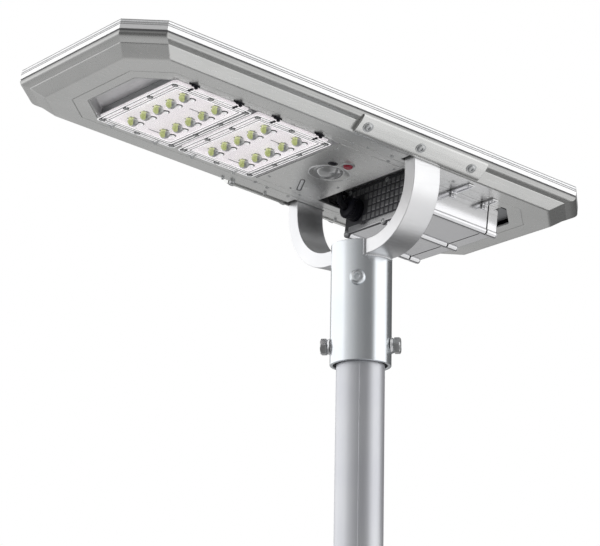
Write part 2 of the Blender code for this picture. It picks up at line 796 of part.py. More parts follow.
# ---------------------------------------------------------------- inside the head
def build_electronics(parent):
    floor = SENSOR_TOP + GAP
    low = (-94 * MM, 28 * MM, floor)
    high = (-14 * MM, 82 * MM, 5.5 * MM)
    box = boxes("charge_controller", [(low, high)], BLACK, parent)
    round_edges(box, 2 * MM)
    low = (-96 * MM, -84 * MM, floor)
    high = (-60 * MM, -56 * MM, 4.5 * MM)
    box = boxes("led_driver", [(low, high)], DARK_ALUMINIUM, parent)
    round_edges(box, 1.5 * MM)


def build_pivots(parent):
    foot = PAN_FLOOR + 4 * MM
    outline = (
        (-82 * MM, PAN_FLOOR),
        (82 * MM, PAN_FLOOR),
        (82 * MM, foot),
        (24 * MM, foot),
        (15 * MM, 5.5 * MM),
        (-15 * MM, 5.5 * MM),
        (-24 * MM, foot),
        (-82 * MM, foot),
    )
    hole = arc((PIVOT_S, PIVOT_W), PIVOT_BOLT_R + GAP, 0, 342, 19)
    inside = 98.6 * MM
    outside = YOKE_IN_Y - 0.4 * MM
    nut_hole = arc((0, 0), PIVOT_BOLT_R + GAP, 0, 342, 19)
    bolt_end = 88 * MM
    for side in (-1, 1):
        name = side_name(side)
        at = (0, side * (inside + outside) / 2, 0)
        thickness = outside - inside
        plate("pivot_block_" + name, [outline, hole], thickness, DARK_ALUMINIUM, parent, at, ALONG_HEAD)

        reach = YOKE_OUT_Y + GAP
        at = (PIVOT_S, side * reach, PIVOT_W)
        shank = reach - bolt_end
        out = (0, side, 0)
        hex_bolt("pivot_bolt_" + name, 12.8 * MM, 5 * MM, PIVOT_BOLT_R, shank, parent, at, out)

        at = (PIVOT_S, side * 94.6 * MM, PIVOT_W)
        plate("pivot_nut_" + name, [hexagon(13 * MM), nut_hole], 6.8 * MM, STEEL, parent, at, ALONG_HEAD)


# ---------------------------------------------------------------- battery box
def box_outline():
    """Section of the box: cut upper corners, and three round ribs along its bottom."""
    low, high = BOX_W
    half = BOX_HALF_V
    corner = 3 * MM
    rib_w = low + 1 * MM
    points = [(-half, high - corner), (-half + corner, high), (half - corner, high), (half, high - corner)]
    points.extend(arc((RIB_V[2], rib_w), RIB_R, 35, -170, 9))
    points.extend(arc((RIB_V[1], rib_w), RIB_R, -10, -170, 7))
    points.extend(arc((RIB_V[0], rib_w), RIB_R, -10, -215, 9))
    return points


def box_inside(margin=0.0):
    """Section of the space inside the box; a margin makes it larger."""
    low, high = BOX_W
    half = BOX_HALF_V - BOX_WALL + margin
    floor = low + 5.6 * MM - margin
    corner = 3 * MM
    return [
        (-half, floor + corner),
        (-half + corner, floor),
        (half - corner, floor),
        (half, floor + corner),
        (half, high - BOX_WALL + margin),
        (-half, high - BOX_WALL + margin),
    ]


def pack_outline():
    """Scalloped section of a block of round cells, seen along the cells."""
    columns = [BOX_S[0] + 16.8 * MM + i * CELL_PITCH for i in range(3)]
    rows = [BOX_W[0] + 19.0 * MM + i * CELL_PITCH for i in range(2)]
    runs = (
        ([(s, rows[0]) for s in columns], -90),
        ([(columns[-1], w) for w in rows], 0),
        ([(s, rows[-1]) for s in reversed(columns)], 90),
        ([(columns[0], w) for w in reversed(rows)], 180),
    )
    points = []
    for centres, facing in runs:
        for centre in centres:
            points.extend(arc(centre, CELL_R, facing - 40, facing + 40, 4))
    return points


def box_slice(name, outlines, span, look, parent):
    """Piece of the box's section, from one s to another."""
    middle = (sum(span) / 2, 0, 0)
    return plate(name, outlines, span[1] - span[0], look, parent, middle, ACROSS_HEAD)


def build_battery(parent):
    outline = box_outline()
    box_slice("battery_shell", [outline, box_inside()], BOX_S, ALUMINIUM, parent)
    box_slice("battery_end_cap", [outline], END_CAP_S, ALUMINIUM, parent)
    end_plate = box_slice("battery_end_plate", [outline], END_PLATE_S, DARK_ALUMINIUM, parent)
    end_plate = to_mesh(end_plate, DARK_ALUMINIUM)
    start = (END_PLATE_S[0] - 2 * MM, *CONNECTOR_AT)
    hole = rods("end_plate_hole", [start], (1, 0, 0), 8 * MM, 8 * MM, parent)
    combine(end_plate, hole, "DIFFERENCE")

    middle = sum(BOX_W) / 2
    shrunk = [(v * 0.985, middle + (w - middle) * 0.965) for v, w in outline]
    left = (END_PLATE_S[1] + GAP, BOX_S[0] - GAP)
    right = (BOX_S[1] + GAP, END_CAP_S[0] - GAP)
    for name, span in (("left", left), ("right", right)):
        box_slice("battery_gasket_" + name, [shrunk, box_inside(0.4 * MM)], span, RUBBER, parent)

    profile = mm_profile(
        (
            (0, 46.0),
            (7.6, 46.0),
            (7.6, 39.6),
            (15.0, 39.6),
            (15.0, 34.0),
            (13.2, 33.4),
            (13.2, 28.0),
            (14.4, 27.6),
            (14.4, 23.0),
            (12.0, 21.4),
            (5.0, 21.4),
            (5.0, 36.0),
            (0, 36.0),
        )
    )
    turned("battery_connector", profile, BLACK, parent, (0, *CONNECTOR_AT), (1, 0, 0))
    stops = (
        (34, 58, -28),
        (20, 58, -27.6),
        (12, 57.2, -24),
        (8.4, 55.6, -15),
        (6, 55, -8),
        (0, 55, -4.4),
        (-6, 55, -3.6),
        (-13.4, 55, -3.4),
    )
    cable("battery_lead", smooth_path(stops, 3), 4.2 * MM, RUBBER, parent)

    plate("battery_pack", [pack_outline()], 2 * PACK_HALF_V, PACK_BLUE, parent, rotation=ALONG_HEAD)
    low = (52 * MM, 69 * MM, -44 * MM)
    high = (130 * MM, 71 * MM, -6 * MM)
    boxes("battery_board", [(low, high)], GREEN, parent)

    face = BOX_HALF_V + 1.5 * MM
    thickness = 1.8 * MM
    for name, side, s, reach in BRACKETS:
        section = [
            (side * face, PAN_BOTTOM - BRACKET_DROP),
            (side * (face + thickness), PAN_BOTTOM - BRACKET_DROP),
            (side * (face + thickness), PAN_BOTTOM - GAP - thickness),
            (side * reach, PAN_BOTTOM - GAP - thickness),
            (side * reach, PAN_BOTTOM - GAP),
            (side * face, PAN_BOTTOM - GAP),
        ]
        span = (s - BRACKET_HALF, s + BRACKET_HALF)
        box_slice("battery_bracket_" + name, [section], span, STEEL, parent)


def main():
    for obj in list(bpy.data.objects):
        bpy.data.objects.remove(obj)
    bpy.context.scene.collection.children.link(PARTS)
    bpy.context.scene.collection.children.link(CUTTERS)

    swivel = empty("swivel_axis", None, (0, 0, 0))
    tilt = empty("tilt_axis", None, PIVOT, (0, TILT, 0))
    head = empty("head_origin", tilt, (-PIVOT_S, 0, -PIVOT_W))

    build_pole()
    build_sleeve(swivel)
    build_yoke(swivel)
    build_pan(head)
    build_covers(head)
    build_panel(head)
    build_tray(head)
    build_modules(head)
    build_sensor(head)
    build_button(head)
    build_electronics(head)
    build_pivots(head)
    build_battery(head)


main()
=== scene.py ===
"""Looks of the solar street lamp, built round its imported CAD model.

Metres, +Z up, in the frame of the CAD model. The head's pieces are drawn in the head's own
coordinates, in millimetres: s along the head, v across it, w up from the rim plane.
"""

import math

import bmesh
import bpy
from mathutils import Matrix, Vector

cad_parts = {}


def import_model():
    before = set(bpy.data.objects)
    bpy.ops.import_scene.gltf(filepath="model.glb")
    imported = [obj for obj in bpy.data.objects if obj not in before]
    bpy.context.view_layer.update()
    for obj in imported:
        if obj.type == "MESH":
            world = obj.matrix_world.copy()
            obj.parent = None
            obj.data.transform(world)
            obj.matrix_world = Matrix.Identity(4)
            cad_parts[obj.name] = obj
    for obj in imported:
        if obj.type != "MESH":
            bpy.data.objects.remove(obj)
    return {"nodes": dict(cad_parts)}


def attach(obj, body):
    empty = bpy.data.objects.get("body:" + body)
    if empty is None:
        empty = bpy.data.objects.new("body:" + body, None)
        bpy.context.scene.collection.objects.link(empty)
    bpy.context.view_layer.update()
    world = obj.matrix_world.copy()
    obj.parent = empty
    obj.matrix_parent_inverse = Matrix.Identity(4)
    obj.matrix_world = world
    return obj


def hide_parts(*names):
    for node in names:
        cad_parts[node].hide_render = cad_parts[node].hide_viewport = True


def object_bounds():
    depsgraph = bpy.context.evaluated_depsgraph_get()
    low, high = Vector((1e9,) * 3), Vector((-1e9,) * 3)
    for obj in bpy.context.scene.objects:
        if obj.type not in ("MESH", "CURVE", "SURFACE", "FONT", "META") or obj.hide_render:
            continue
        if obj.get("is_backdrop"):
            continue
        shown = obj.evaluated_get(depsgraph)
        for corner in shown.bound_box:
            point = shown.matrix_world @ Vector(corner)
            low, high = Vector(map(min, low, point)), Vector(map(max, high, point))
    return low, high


MM = 0.001

# Places taken from the CAD model
PIVOT_Z = 479.6
PIVOT_S = 0.7
PIVOT_W = -6.0
TILT = math.radians(6.5)
HEAD = (
    Matrix.Translation((0, 0, PIVOT_Z * MM))
    @ Matrix.Rotation(TILT, 4, "Y")
    @ Matrix.Translation((-PIVOT_S * MM, 0, -PIVOT_W * MM))
)
WORLD = Matrix.Identity(4)
DOWN = (0, 0, -1)

# Octagons of the head: low s, high s, half width, corner cut
RIM = (-435.0, 265.5, 148.5, 39.0)
PAN = (-411.3, 242.0, 124.0, 39.0)
BORDER = (-387.0, 216.0, 100.0, 37.0)
OPENING = (-373.0, 202.0, 86.5, 36.0)
WALL_INSET = 24.5
BOTTOM = -20.6
SKIN = 2.3

# Side wall of the pan, from the rim to the bottom: inset from the rim, w
WALL = (
    (2.0, 0.0), (0.6, -0.1), (0.1, -0.8), (0.2, -2.4), (0.8, -4.1), (2.1, -5.6), (3.8, -6.7),
    (6.0, -7.7), (8.3, -8.55), (10.0, -9.2), (10.3, -9.75), (10.9, -10.15), (16.8, -14.8),
    (22.6, -19.35), (23.8, -20.15), (25.0, -20.5), (26.4, -20.6),
)
WALL_BACK = ((26.0, -18.3), (18.0, -12.4), (12.4, -7.9), (6.5, -5.2), (3.4, -3.4), (2.8, 0.0))

# Side covers: section (v, w), outer face first
COVER_S = (-114.0, 80.0)
COVER_OUTSIDE = (
    (149.2, -3.3), (149.6, -4.0), (149.5, -5.4), (148.7, -7.4), (147.0, -9.7), (144.5, -12.0),
    (141.5, -14.3), (138.2, -17.0), (135.2, -19.4), (132.6, -21.1), (130.6, -21.8), (129.2, -21.8),
)
COVER_INSIDE = (
    (128.7, -21.3), (128.7, -17.4), (139.0, -9.4), (144.0, -7.4), (147.9, -5.3), (148.3, -3.3),
)
COVER_SCREW_S = (-101.0, -20.0, 60.0)
COVER_FACE = (141.5, -14.3)
COVER_NORMAL = (0.652, -0.759)

# Panel and its frames: grey lines of painted shade in the frame's grooves and along its top edge (inset
# from the rim, low w, high w)
MITRE_GAP = 0.15
FRAME_SHADE_LINES = ((0.15, 7.0, 8.1), (0.5, 9.4, 10.6), (0.75, 12.7, 13.75))
GLASS_INSET = 6.8
CELL_INSET = 13.0
CELL_COUNT = (10, 4)

# LED modules
MODULES = (("left", -284.0), ("right", -166.0))
MODULE_HALF_S = 57.0
MODULE_HALF_V = 85.0
MODULE_CORNER = 5.0
LED_ROW_S = 23.1
LED_PITCH_V = 27.5
BOARD_W = (-19.7, -18.1)
LED_W = -23.6
LENS_W = -24.0
PRINT_W = (-19.85, -19.6)
SECOND_LOBE = (10.6, -3.2, 0.0)
CLIP_SHIFT_S = 31.5
CLIP_V = 90.5

# Sensor plate
SENSOR_S = (-99.0, -2.5)
MOTION_AT = (-50.0, 0.0)
BUTTON_AT = (-51.0, -39.0)
WINDOW_AT = (-67.0, -29.0)
INSERT_AT = (-49.0, 61.0)
INSERT_ANGLE = math.radians(62.0)
INSERT_LENGTH = 37.5
INSERT_WIDTH = 5.0

# Small screws round the sensor plate (s, v), and studs on the far margin (s, radius, height)
FLUSH_SCREWS = (
    (-29, -90), (-92, -100), (-71, -104), (-36, -106), (64, -104),
    (-29, 90), (-92, 100), (-71, 104), (-36, 106),
)
SMALL_SCREWS = ((-8, -76), (-8, 76), (-92, -70), (-92, 70), (-14, 30))
FAR_STUDS = ((-128, 2.2, 3.0), (-113, 3.6, 4.2), (-62, 2.2, 3.0), (52, 2.2, 3.0))
STUD_V = 120.5

# Battery box
BOX_S = (43.3, 141.7)
CAP_S = (143.3, 159.5)
END_S = (39.9, 42.1)
BOX_HALF_V = 80.0
BOX_W = (-56.5, 5.0)
RIB_R = 5.0
RIB_V = (-76.0, 0.0, 76.0)
RIB_W = BOX_W[0] + 1
CONNECTOR_AT = (58.0, -28.0)
CONNECTOR_CLEAR = 19.0
PAD_ROWS_W = (-3.5, -13.0, -22.5, -32.0, -41.5)
PAD_PITCH_V = 9.07
BRACKETS = (("near_left", -1, 84.0, 116.0), ("near_right", -1, 135.0, 102.0), ("far", 1, 50.0, 102.0))

# Pole, sleeve and yoke
POLE_R = 30.0
POLE_IN_R = 27.0
POLE_TOP = 356.0
SLEEVE_R = 38.0
SLEEVE_IN_R = 33.5
SLEEVE_Z = (233.2, 386.0)
YOKE_HALF_X = 20.35
YOKE_OUT_Y = 128.0
YOKE_IN_Y = 109.0
YOKE_FLAT_Y = 43.0
YOKE_BOTTOM = 366.1
YOKE_TOP = PIVOT_Z + 8.0
YOKE_TIP = 9.9
CLAMP_Z = 258.5
SLEEVE_SCREW_Z = 336.4

# Camera of the photograph's view
CAMERA_AT = (-1.79828, -2.32349, -0.46578)
CAMERA_TURN = (105.555, -0.621, -37.911)
CAMERA_AZIMUTH = math.radians(232.3)
CAMERA_LENS = 147.73
CAMERA_SENSOR = 36.0
CAMERA_SHIFT_X = -0.10256
CAMERA_CLIP = 60.0


# ---------------------------------------------------------------- shapes
def octagon(dims, inset=0.0):
    """Corners of one of the head's octagons."""
    low_s, high_s, half, corner = dims
    low_s += inset
    high_s -= inset
    half -= inset
    return [
        (low_s, -half + corner),
        (low_s + corner, -half),
        (high_s - corner, -half),
        (high_s, -half + corner),
        (high_s, half - corner),
        (high_s - corner, half),
        (low_s + corner, half),
        (low_s, half - corner),
    ]


def rounded(corners, radius, steps=3):
    """Outline with round corners."""
    points = []
    for i, corner in enumerate(corners):
        corner = Vector(corner)
        before = Vector(corners[i - 1]) - corner
        after = Vector(corners[(i + 1) % len(corners)]) - corner
        reach = radius / math.tan(before.angle(after) / 2)
        start = corner + before.normalized() * reach
        end = corner + after.normalized() * reach
        for k in range(steps + 1):
            t = k / steps
            point = start * (1 - t) ** 2 + corner * 2 * t * (1 - t) + end * t**2
            points.append((point.x, point.y))
    return points


def pan_outline(inset):
    """Outline of the pan's side wall at an inset from the rim."""
    t = inset / WALL_INSET
    dims = [low + (high - low) * t for low, high in zip(RIM, PAN)]
    return rounded(octagon(dims), 2.5)


def rectangle(centre, half_s, half_v, radius, steps=4):
    """Round-cornered rectangle round a centre."""
    s, v = centre
    corners = [
        (s - half_s, v - half_v),
        (s + half_s, v - half_v),
        (s + half_s, v + half_v),
        (s - half_s, v + half_v),
    ]
    return rounded(corners, radius, steps)


def at_level(outline, w):
    return [(s, v, w) for s, v in outline]


def arc(centre, radius, first, last, steps):
    """Points on an arc, angles in degrees."""
    points = []
    for k in range(steps + 1):
        a = math.radians(first + (last - first) * k / steps)
        points.append((centre[0] + radius * math.cos(a), centre[1] + radius * math.sin(a)))
    return points


def loft(loops, ring=False):
    """Skin between outlines of as many points; a ring closes the last on the first."""
    bm = bmesh.new()
    rows = [[bm.verts.new(point) for point in loop] for loop in loops]
    pairs = list(zip(rows, rows[1:]))
    if ring:
        pairs.append((rows[-1], rows[0]))
    count = len(rows[0])
    for low, high in pairs:
        for i in range(count):
            j = (i + 1) % count
            bm.faces.new((low[i], low[j], high[j], high[i]))
    if not ring:
        bm.faces.new(rows[0])
        bm.faces.new(rows[-1])
    bmesh.ops.recalc_face_normals(bm, faces=bm.faces)
    return bm


def stack(outline_at, section, ring=False):
    """Skin over insets of one outline; its section is (inset, w)."""
    return loft([at_level(outline_at(inset), w) for inset, w in section], ring)


def slab(outline, low, high):
    """Flat plate with one outline."""
    return loft([at_level(outline, low), at_level(outline, high)])


def moved(bm, matrix):
    bmesh.ops.transform(bm, matrix=matrix, verts=bm.verts)
    return bm


def joined(parts):
    """One bmesh of several, which are used up."""
    whole = bmesh.new()
    for part in parts:
        mesh = bpy.data.meshes.new("part")
        part.to_mesh(mesh)
        part.free()
        whole.from_mesh(mesh)
        bpy.data.meshes.remove(mesh)
    return whole


def bevelled(bm, width, segments=2, angle=28.0):
    """Sharp edges rounded."""
    least = math.radians(angle)
    edges = [e for e in bm.edges if len(e.link_faces) == 2 and e.calc_face_angle() > least]
    bmesh.ops.bevel(bm, geom=edges, offset=width, segments=segments, profile=0.5, affect="EDGES")
    return bm


def block(low, high, width=0.3, segments=2):
    """Box with rounded edges."""
    bm = bmesh.new()
    low = Vector(low)
    size = Vector(high) - low
    place = Matrix.Translation(low + size / 2) @ Matrix.Diagonal((*size, 1.0))
    bmesh.ops.create_cube(bm, size=1.0, matrix=place)
    return bevelled(bm, width, segments)


def turned(profile, steps=32, ribs=0, rib_depth=0.0):
    """Piece turned round local Z. Its profile of (radius, height) runs from the top down the outer
    side; a third entry "hex" makes that level a hexagon, and "rib" gives it ribs."""
    bm = bmesh.new()
    rows = []
    for radius, height, *shape in profile:
        if radius == 0.0:
            rows.append([bm.verts.new((0, 0, height))])
            continue
        row = []
        for k in range(steps):
            a = 2 * math.pi * k / steps
            reach = radius
            if shape == ["hex"]:
                reach = radius / math.cos((a + math.pi / 6) % (math.pi / 3) - math.pi / 6)
            if shape == ["rib"]:
                reach = radius - rib_depth * (0.5 + 0.5 * math.cos(ribs * a)) ** 2
            row.append(bm.verts.new((reach * math.cos(a), reach * math.sin(a), height)))
        rows.append(row)
    pairs = list(zip(rows, rows[1:]))
    if len(rows[0]) > 1:
        pairs.append((rows[-1], rows[0]))
    for upper, lower in pairs:
        for k in range(steps):
            j = (k + 1) % steps
            if len(upper) == 1:
                bm.faces.new((upper[0], lower[k], lower[j]))
            elif len(lower) == 1:
                bm.faces.new((upper[k], lower[0], upper[j]))
            else:
                bm.faces.new((upper[k], lower[k], lower[j], upper[j]))
    bmesh.ops.recalc_face_normals(bm, faces=bm.faces)
    return bm


def facing(at, direction, roll=0.0):
    """Matrix that stands a turned piece at a place, with its local Z along a direction."""
    turn = Vector(direction).to_track_quat("Z", "Y").to_matrix().to_4x4()
    return Matrix.Translation(at) @ turn @ Matrix.Rotation(roll, 4, "Z")


def below(profile, at, w, steps=32, roll=0.0):
    """Turned piece that hangs under the head; its heights are measured down from a level."""
    return moved(turned(profile, steps), facing((at[0], at[1], w), DOWN, roll))


def tube(points, radius, sides=10, ripple=0.0, waves=0):
    """Round tube along a path; a ripple makes it swell and shrink, as a weld bead does."""
    points = [Vector(p) for p in points]
    loops = []
    normal = None
    for i, point in enumerate(points):
        tangent = (points[min(i + 1, len(points) - 1)] - points[max(i - 1, 0)]).normalized()
        if normal is None:
            normal = tangent.orthogonal().normalized()
        normal = (normal - tangent * normal.dot(tangent)).normalized()
        side = tangent.cross(normal)
        reach = radius * (1 + ripple * math.sin(2 * math.pi * waves * i / len(points)))
        loop = []
        for k in range(sides):
            a = 2 * math.pi * k / sides
            loop.append(point + (normal * math.cos(a) + side * math.sin(a)) * reach)
        loops.append(loop)
    return loft(loops)


def smooth_path(stops, steps):
    """Catmull-Rom points through a list of positions."""
    stops = [Vector(stop) for stop in stops]
    stops = [stops[0] * 2 - stops[1]] + stops + [stops[-1] * 2 - stops[-2]]
    path = []
    for p0, p1, p2, p3 in zip(stops, stops[1:], stops[2:], stops[3:]):
        for k in range(steps):
            t = k / steps
            path.append(
                (
                    p1 * 2
                    + (p2 - p0) * t
                    + (p0 * 2 - p1 * 5 + p2 * 4 - p3) * t * t
                    + (p1 * 3 - p0 - p2 * 3 + p3) * t * t * t
                )
                * 0.5
            )
    path.append(stops[-2])
    return path


def carved(bm, cutters):
    """Shape with others cut out of it."""
    pair = []
    for label, shape in (("carved", bm), ("cutter", joined(cutters))):
        mesh = bpy.data.meshes.new(label)
        shape.to_mesh(mesh)
        shape.free()
        obj = bpy.data.objects.new(label, mesh)
        bpy.context.scene.collection.objects.link(obj)
        pair.append(obj)
    modifier = pair[0].modifiers.new("cut", "BOOLEAN")
    modifier.operation = "DIFFERENCE"
    modifier.object = pair[1]
    graph = bpy.context.evaluated_depsgraph_get()
    result = bmesh.new()
    result.from_mesh(pair[0].evaluated_get(graph).data)
    for obj in pair:
        bpy.data.objects.remove(obj)
    return result


def piece(name, bm, look, replaced=(), body="head", matrix=HEAD, sharp=32.0):
    """Finished piece: drawn in millimetres, placed by its matrix, and riding on a body."""
    bmesh.ops.transform(bm, matrix=matrix @ Matrix.Scale(MM, 4), verts=bm.verts)
    mesh = bpy.data.meshes.new(name)
    bm.to_mesh(mesh)
    bm.free()
    mesh.materials.append(look)
    mesh.shade_smooth()
    mesh.set_sharp_from_angle(angle=math.radians(sharp))
    obj = bpy.data.objects.new(name, mesh)
    bpy.context.scene.collection.objects.link(obj)
    flat = obj.modifiers.new("Flat faces", "WEIGHTED_NORMAL")
    flat.keep_sharp = True
    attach(obj, body)
    if replaced:
        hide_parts(*replaced)


# ---------------------------------------------------------------- materials
# How a material's grain is stretched
EVEN = (1, 1, 1)
ALONG_S = (0.04, 1, 1)
ALONG_Z = (1, 1, 0.03)
GRAIN_DEPTH = 0.0004


def add_node(tree, kind, inputs=(), **settings):
    """New node; each input is a value or the socket that feeds it."""
    node = tree.nodes.new("ShaderNode" + kind)
    for name, value in settings.items():
        setattr(node, name, value)
    for name, value in dict(inputs).items():
        if isinstance(value, bpy.types.NodeSocket):
            tree.links.new(value, node.inputs[name])
        else:
            node.inputs[name].default_value = value
    return node


def add_noise(tree, scale, stretch, detail=5.0):
    """Noise in the object's own coordinates."""
    coords = add_node(tree, "TexCoord").outputs["Object"]
    place = add_node(tree, "Mapping", {"Vector": coords, "Scale": stretch}).outputs["Vector"]
    return add_node(tree, "TexNoise", {"Vector": place, "Scale": scale, "Detail": detail}).outputs["Fac"]


def add_range(tree, value, low, high, start=0.3, stop=0.7):
    """Value stretched from one range to another, softly."""
    inputs = {"Value": value, "From Min": start, "From Max": stop, "To Min": low, "To Max": high}
    return add_node(tree, "MapRange", inputs, interpolation_type="SMOOTHSTEP").outputs["Result"]


def add_mix(tree, factor, first, second, **settings):
    inputs = {"Factor": factor, "A": first, "B": second}
    return add_node(tree, "Mix", inputs, **settings).outputs["Result"]


def add_math(tree, operation, *values):
    return add_node(tree, "Math", enumerate(values), operation=operation).outputs[0]


def recolour(mat, factor, second, **settings):
    """Mixes a second colour into a material's own."""
    tree = mat.node_tree
    base = tree.nodes["Principled BSDF"].inputs["Base Color"]
    own = base.links[0].from_socket
    tree.links.new(add_mix(tree, factor, own, second, data_type="RGBA", **settings), base)


def surface(
    name, colours, roughness, metallic=0.0, grain=(400.0, EVEN), bump=0.08, patches=14.0, settings=()
):
    """Material whose colour wanders between two tones, with grain in its roughness and bump.

    The grain is (scale, stretch), patches is the scale of the colour's wandering, and the settings
    are (socket, value) pairs of the shader.
    """
    mat = bpy.data.materials.new(name)
    mat.use_nodes = True
    tree = mat.node_tree
    shader = tree.nodes["Principled BSDF"]
    shader.inputs["Metallic"].default_value = metallic
    for socket, value in settings:
        shader.inputs[socket].default_value = value

    wander = add_range(tree, add_noise(tree, patches, EVEN, 3.0), 0.0, 1.0)
    first, second = ((*colour, 1.0) for colour in colours)
    mixed = add_mix(tree, wander, first, second, data_type="RGBA")
    fine = add_noise(tree, *grain)
    bumped = add_node(tree, "Bump", {"Strength": bump, "Distance": GRAIN_DEPTH, "Height": fine})
    tree.links.new(mixed, shader.inputs["Base Color"])
    tree.links.new(add_range(tree, fine, *roughness), shader.inputs["Roughness"])
    tree.links.new(bumped.outputs["Normal"], shader.inputs["Normal"])
    return mat


def shade_towards_rim(mat, least, low, high):
    """Paints shade into a head material's colour between two levels of w, as it goes under the frame's
    lip.
    """
    tree = mat.node_tree
    axis = HEAD.to_3x3() @ Vector((0, 0, 1))
    base = axis.dot(HEAD.translation)
    coords = add_node(tree, "TexCoord").outputs["Object"]
    dot = add_node(tree, "VectorMath", {0: coords, 1: axis}, operation="DOT_PRODUCT")
    share = add_range(tree, dot.outputs["Value"], 1.0, least, base + low * MM, base + high * MM)
    recolour(mat, 1.0, share, blend_type="MULTIPLY")


# Emission that paints light into a surface, so it stays bright in shade
def painted_glow(colour, strength):
    return (("Emission Color", (*colour, 1.0)), ("Emission Strength", strength))


def cell_material():
    """Dark blue silicon with thin silver fingers across the cells."""
    colours = ((0.008, 0.012, 0.035), (0.012, 0.02, 0.055))
    mat = surface("solar_cell", colours, (0.22, 0.34), patches=40.0)
    tree = mat.node_tree
    coords = add_node(tree, "TexCoord").outputs["Object"]
    wave = add_node(tree, "TexWave", {"Vector": coords, "Scale": 160.0}, bands_direction="X")
    recolour(mat, add_range(tree, wave.outputs["Fac"], 0.0, 0.35, 0.93, 0.99), (0.55, 0.56, 0.58, 1.0))
    return mat


PAN_METAL = surface(
    "pan_metal", ((0.74, 0.745, 0.735), (0.79, 0.79, 0.78)), (0.27, 0.31), 0.9, (900.0, ALONG_S), 0.02
)
COVER_METAL = surface(
    "cover_metal", ((0.76, 0.765, 0.755), (0.81, 0.81, 0.80)), (0.25, 0.29), 0.9, (900.0, ALONG_S), 0.02
)
FRAME_WHITE = surface(
    "frame_white", ((0.94, 0.94, 0.95), (0.98, 0.98, 0.98)), (0.28, 0.36), 0.7, (500.0, ALONG_S), 0.02
)
FRAME_METAL = surface(
    "frame_metal", ((0.86, 0.87, 0.88), (0.92, 0.92, 0.93)), (0.26, 0.34), 0.8, (900.0, ALONG_S), 0.02
)
# Grey of the painted shade lines in the frame's grooves and along its top edge
FRAME_SHADE_LINE = surface(
    "frame_shade_line", ((0.42, 0.42, 0.425), (0.50, 0.50, 0.505)), (0.5, 0.6), 0.2, (700.0, ALONG_S), 0.1
)
SEAL_RUBBER = surface(
    "seal_rubber", ((0.13, 0.13, 0.135), (0.17, 0.17, 0.175)), (0.6, 0.8), 0.0, (700.0, EVEN), 0.2
)
# Painted shade on the pan and the covers, darker towards the rim under the frame's lip
shade_towards_rim(PAN_METAL, 0.36, -8.0, 0.5)
shade_towards_rim(COVER_METAL, 0.36, -8.0, 0.5)
YOKE_METAL = surface(
    "yoke_metal", ((0.78, 0.785, 0.80), (0.84, 0.84, 0.85)),
    (0.28, 0.38), 0.9, (800.0, (0.05, 1, 1)), 0.05,
)
SLEEVE_PAINT = surface(
    "sleeve_paint", ((0.77, 0.81, 0.85), (0.81, 0.84, 0.87)), (0.17, 0.21), 0.9, (350.0, ALONG_Z), 0.008
)
POLE_PAINT = surface(
    "pole_paint", ((0.66, 0.67, 0.71), (0.70, 0.71, 0.74)), (0.38, 0.42), 0.7, (300.0, ALONG_Z), 0.01
)
WELD = surface(
    "weld_bead", ((0.66, 0.67, 0.69), (0.78, 0.79, 0.80)), (0.25, 0.45), 0.9, (900.0, EVEN), 0.3, 120.0
)
STEEL = surface(
    "zinc_steel", ((0.58, 0.59, 0.60), (0.66, 0.67, 0.67)),
    (0.30, 0.36), 0.85, (500.0, EVEN), 0.02, 90.0,
)
# Near-black metal that paints the shade in the gaps and recesses round the light window and the status
# insert
PAINTED_RECESS_SHADE = surface(
    "painted_recess_shade", ((0.05, 0.05, 0.055), (0.10, 0.10, 0.105)), (0.4, 0.6), 0.6, (800.0, EVEN), 0.1, 90.0
)
BOX_METAL = surface(
    "box_metal", ((0.76, 0.76, 0.78), (0.80, 0.80, 0.815)), (0.14, 0.19), 0.95, (900.0, ALONG_S), 0.008
)
CAP_METAL = surface(
    "cap_metal", ((0.80, 0.80, 0.82), (0.85, 0.85, 0.86)), (0.13, 0.18), 0.95, (900.0, ALONG_S), 0.008
)
PLATE_DARK = surface(
    "end_plate_dark", ((0.10, 0.10, 0.11), (0.14, 0.14, 0.15)), (0.4, 0.55), 0.5, (700.0, EVEN), 0.1
)
PLATE_PAD = surface(
    "end_plate_pad", ((0.30, 0.30, 0.31), (0.36, 0.36, 0.37)), (0.35, 0.5), 0.6, (700.0, EVEN), 0.1
)
TRAY_METAL = surface(
    "tray_metal", ((0.74, 0.745, 0.75), (0.80, 0.80, 0.805)), (0.34, 0.42), 0.6, (900.0, ALONG_S), 0.05
)
INNER_METAL = surface(
    "inner_metal", ((0.36, 0.37, 0.38), (0.46, 0.46, 0.47)), (0.35, 0.5), 0.9, (700.0, ALONG_S), 0.08
)
DULL = (("Specular IOR Level", 0.22),)
BLACK = surface(
    "black_plastic", ((0.005, 0.005, 0.010), (0.010, 0.010, 0.018)),
    (0.4, 0.55), 0.0, (800.0, EVEN), 0.1, 14.0, DULL,
)
RUBBER = surface(
    "black_rubber", ((0.006, 0.006, 0.009), (0.012, 0.012, 0.015)),
    (0.6, 0.75), 0.0, (800.0, EVEN), 0.1, 14.0, DULL,
)
# LED board with painted light from its emission, so it reads bright through the clear plate
BOARD = surface(
    "led_board", ((0.92, 0.86, 0.89), (0.96, 0.94, 0.95)),
    (0.4, 0.55), 0.0, (600.0, EVEN), 0.03, 20.0,
    painted_glow((1.0, 0.94, 0.97), 0.5),
)
PRINT = surface(
    "board_print", ((0.16, 0.16, 0.18), (0.26, 0.26, 0.28)),
    (0.5, 0.6), 0.0, (800.0, EVEN), 0.05, 90.0
)
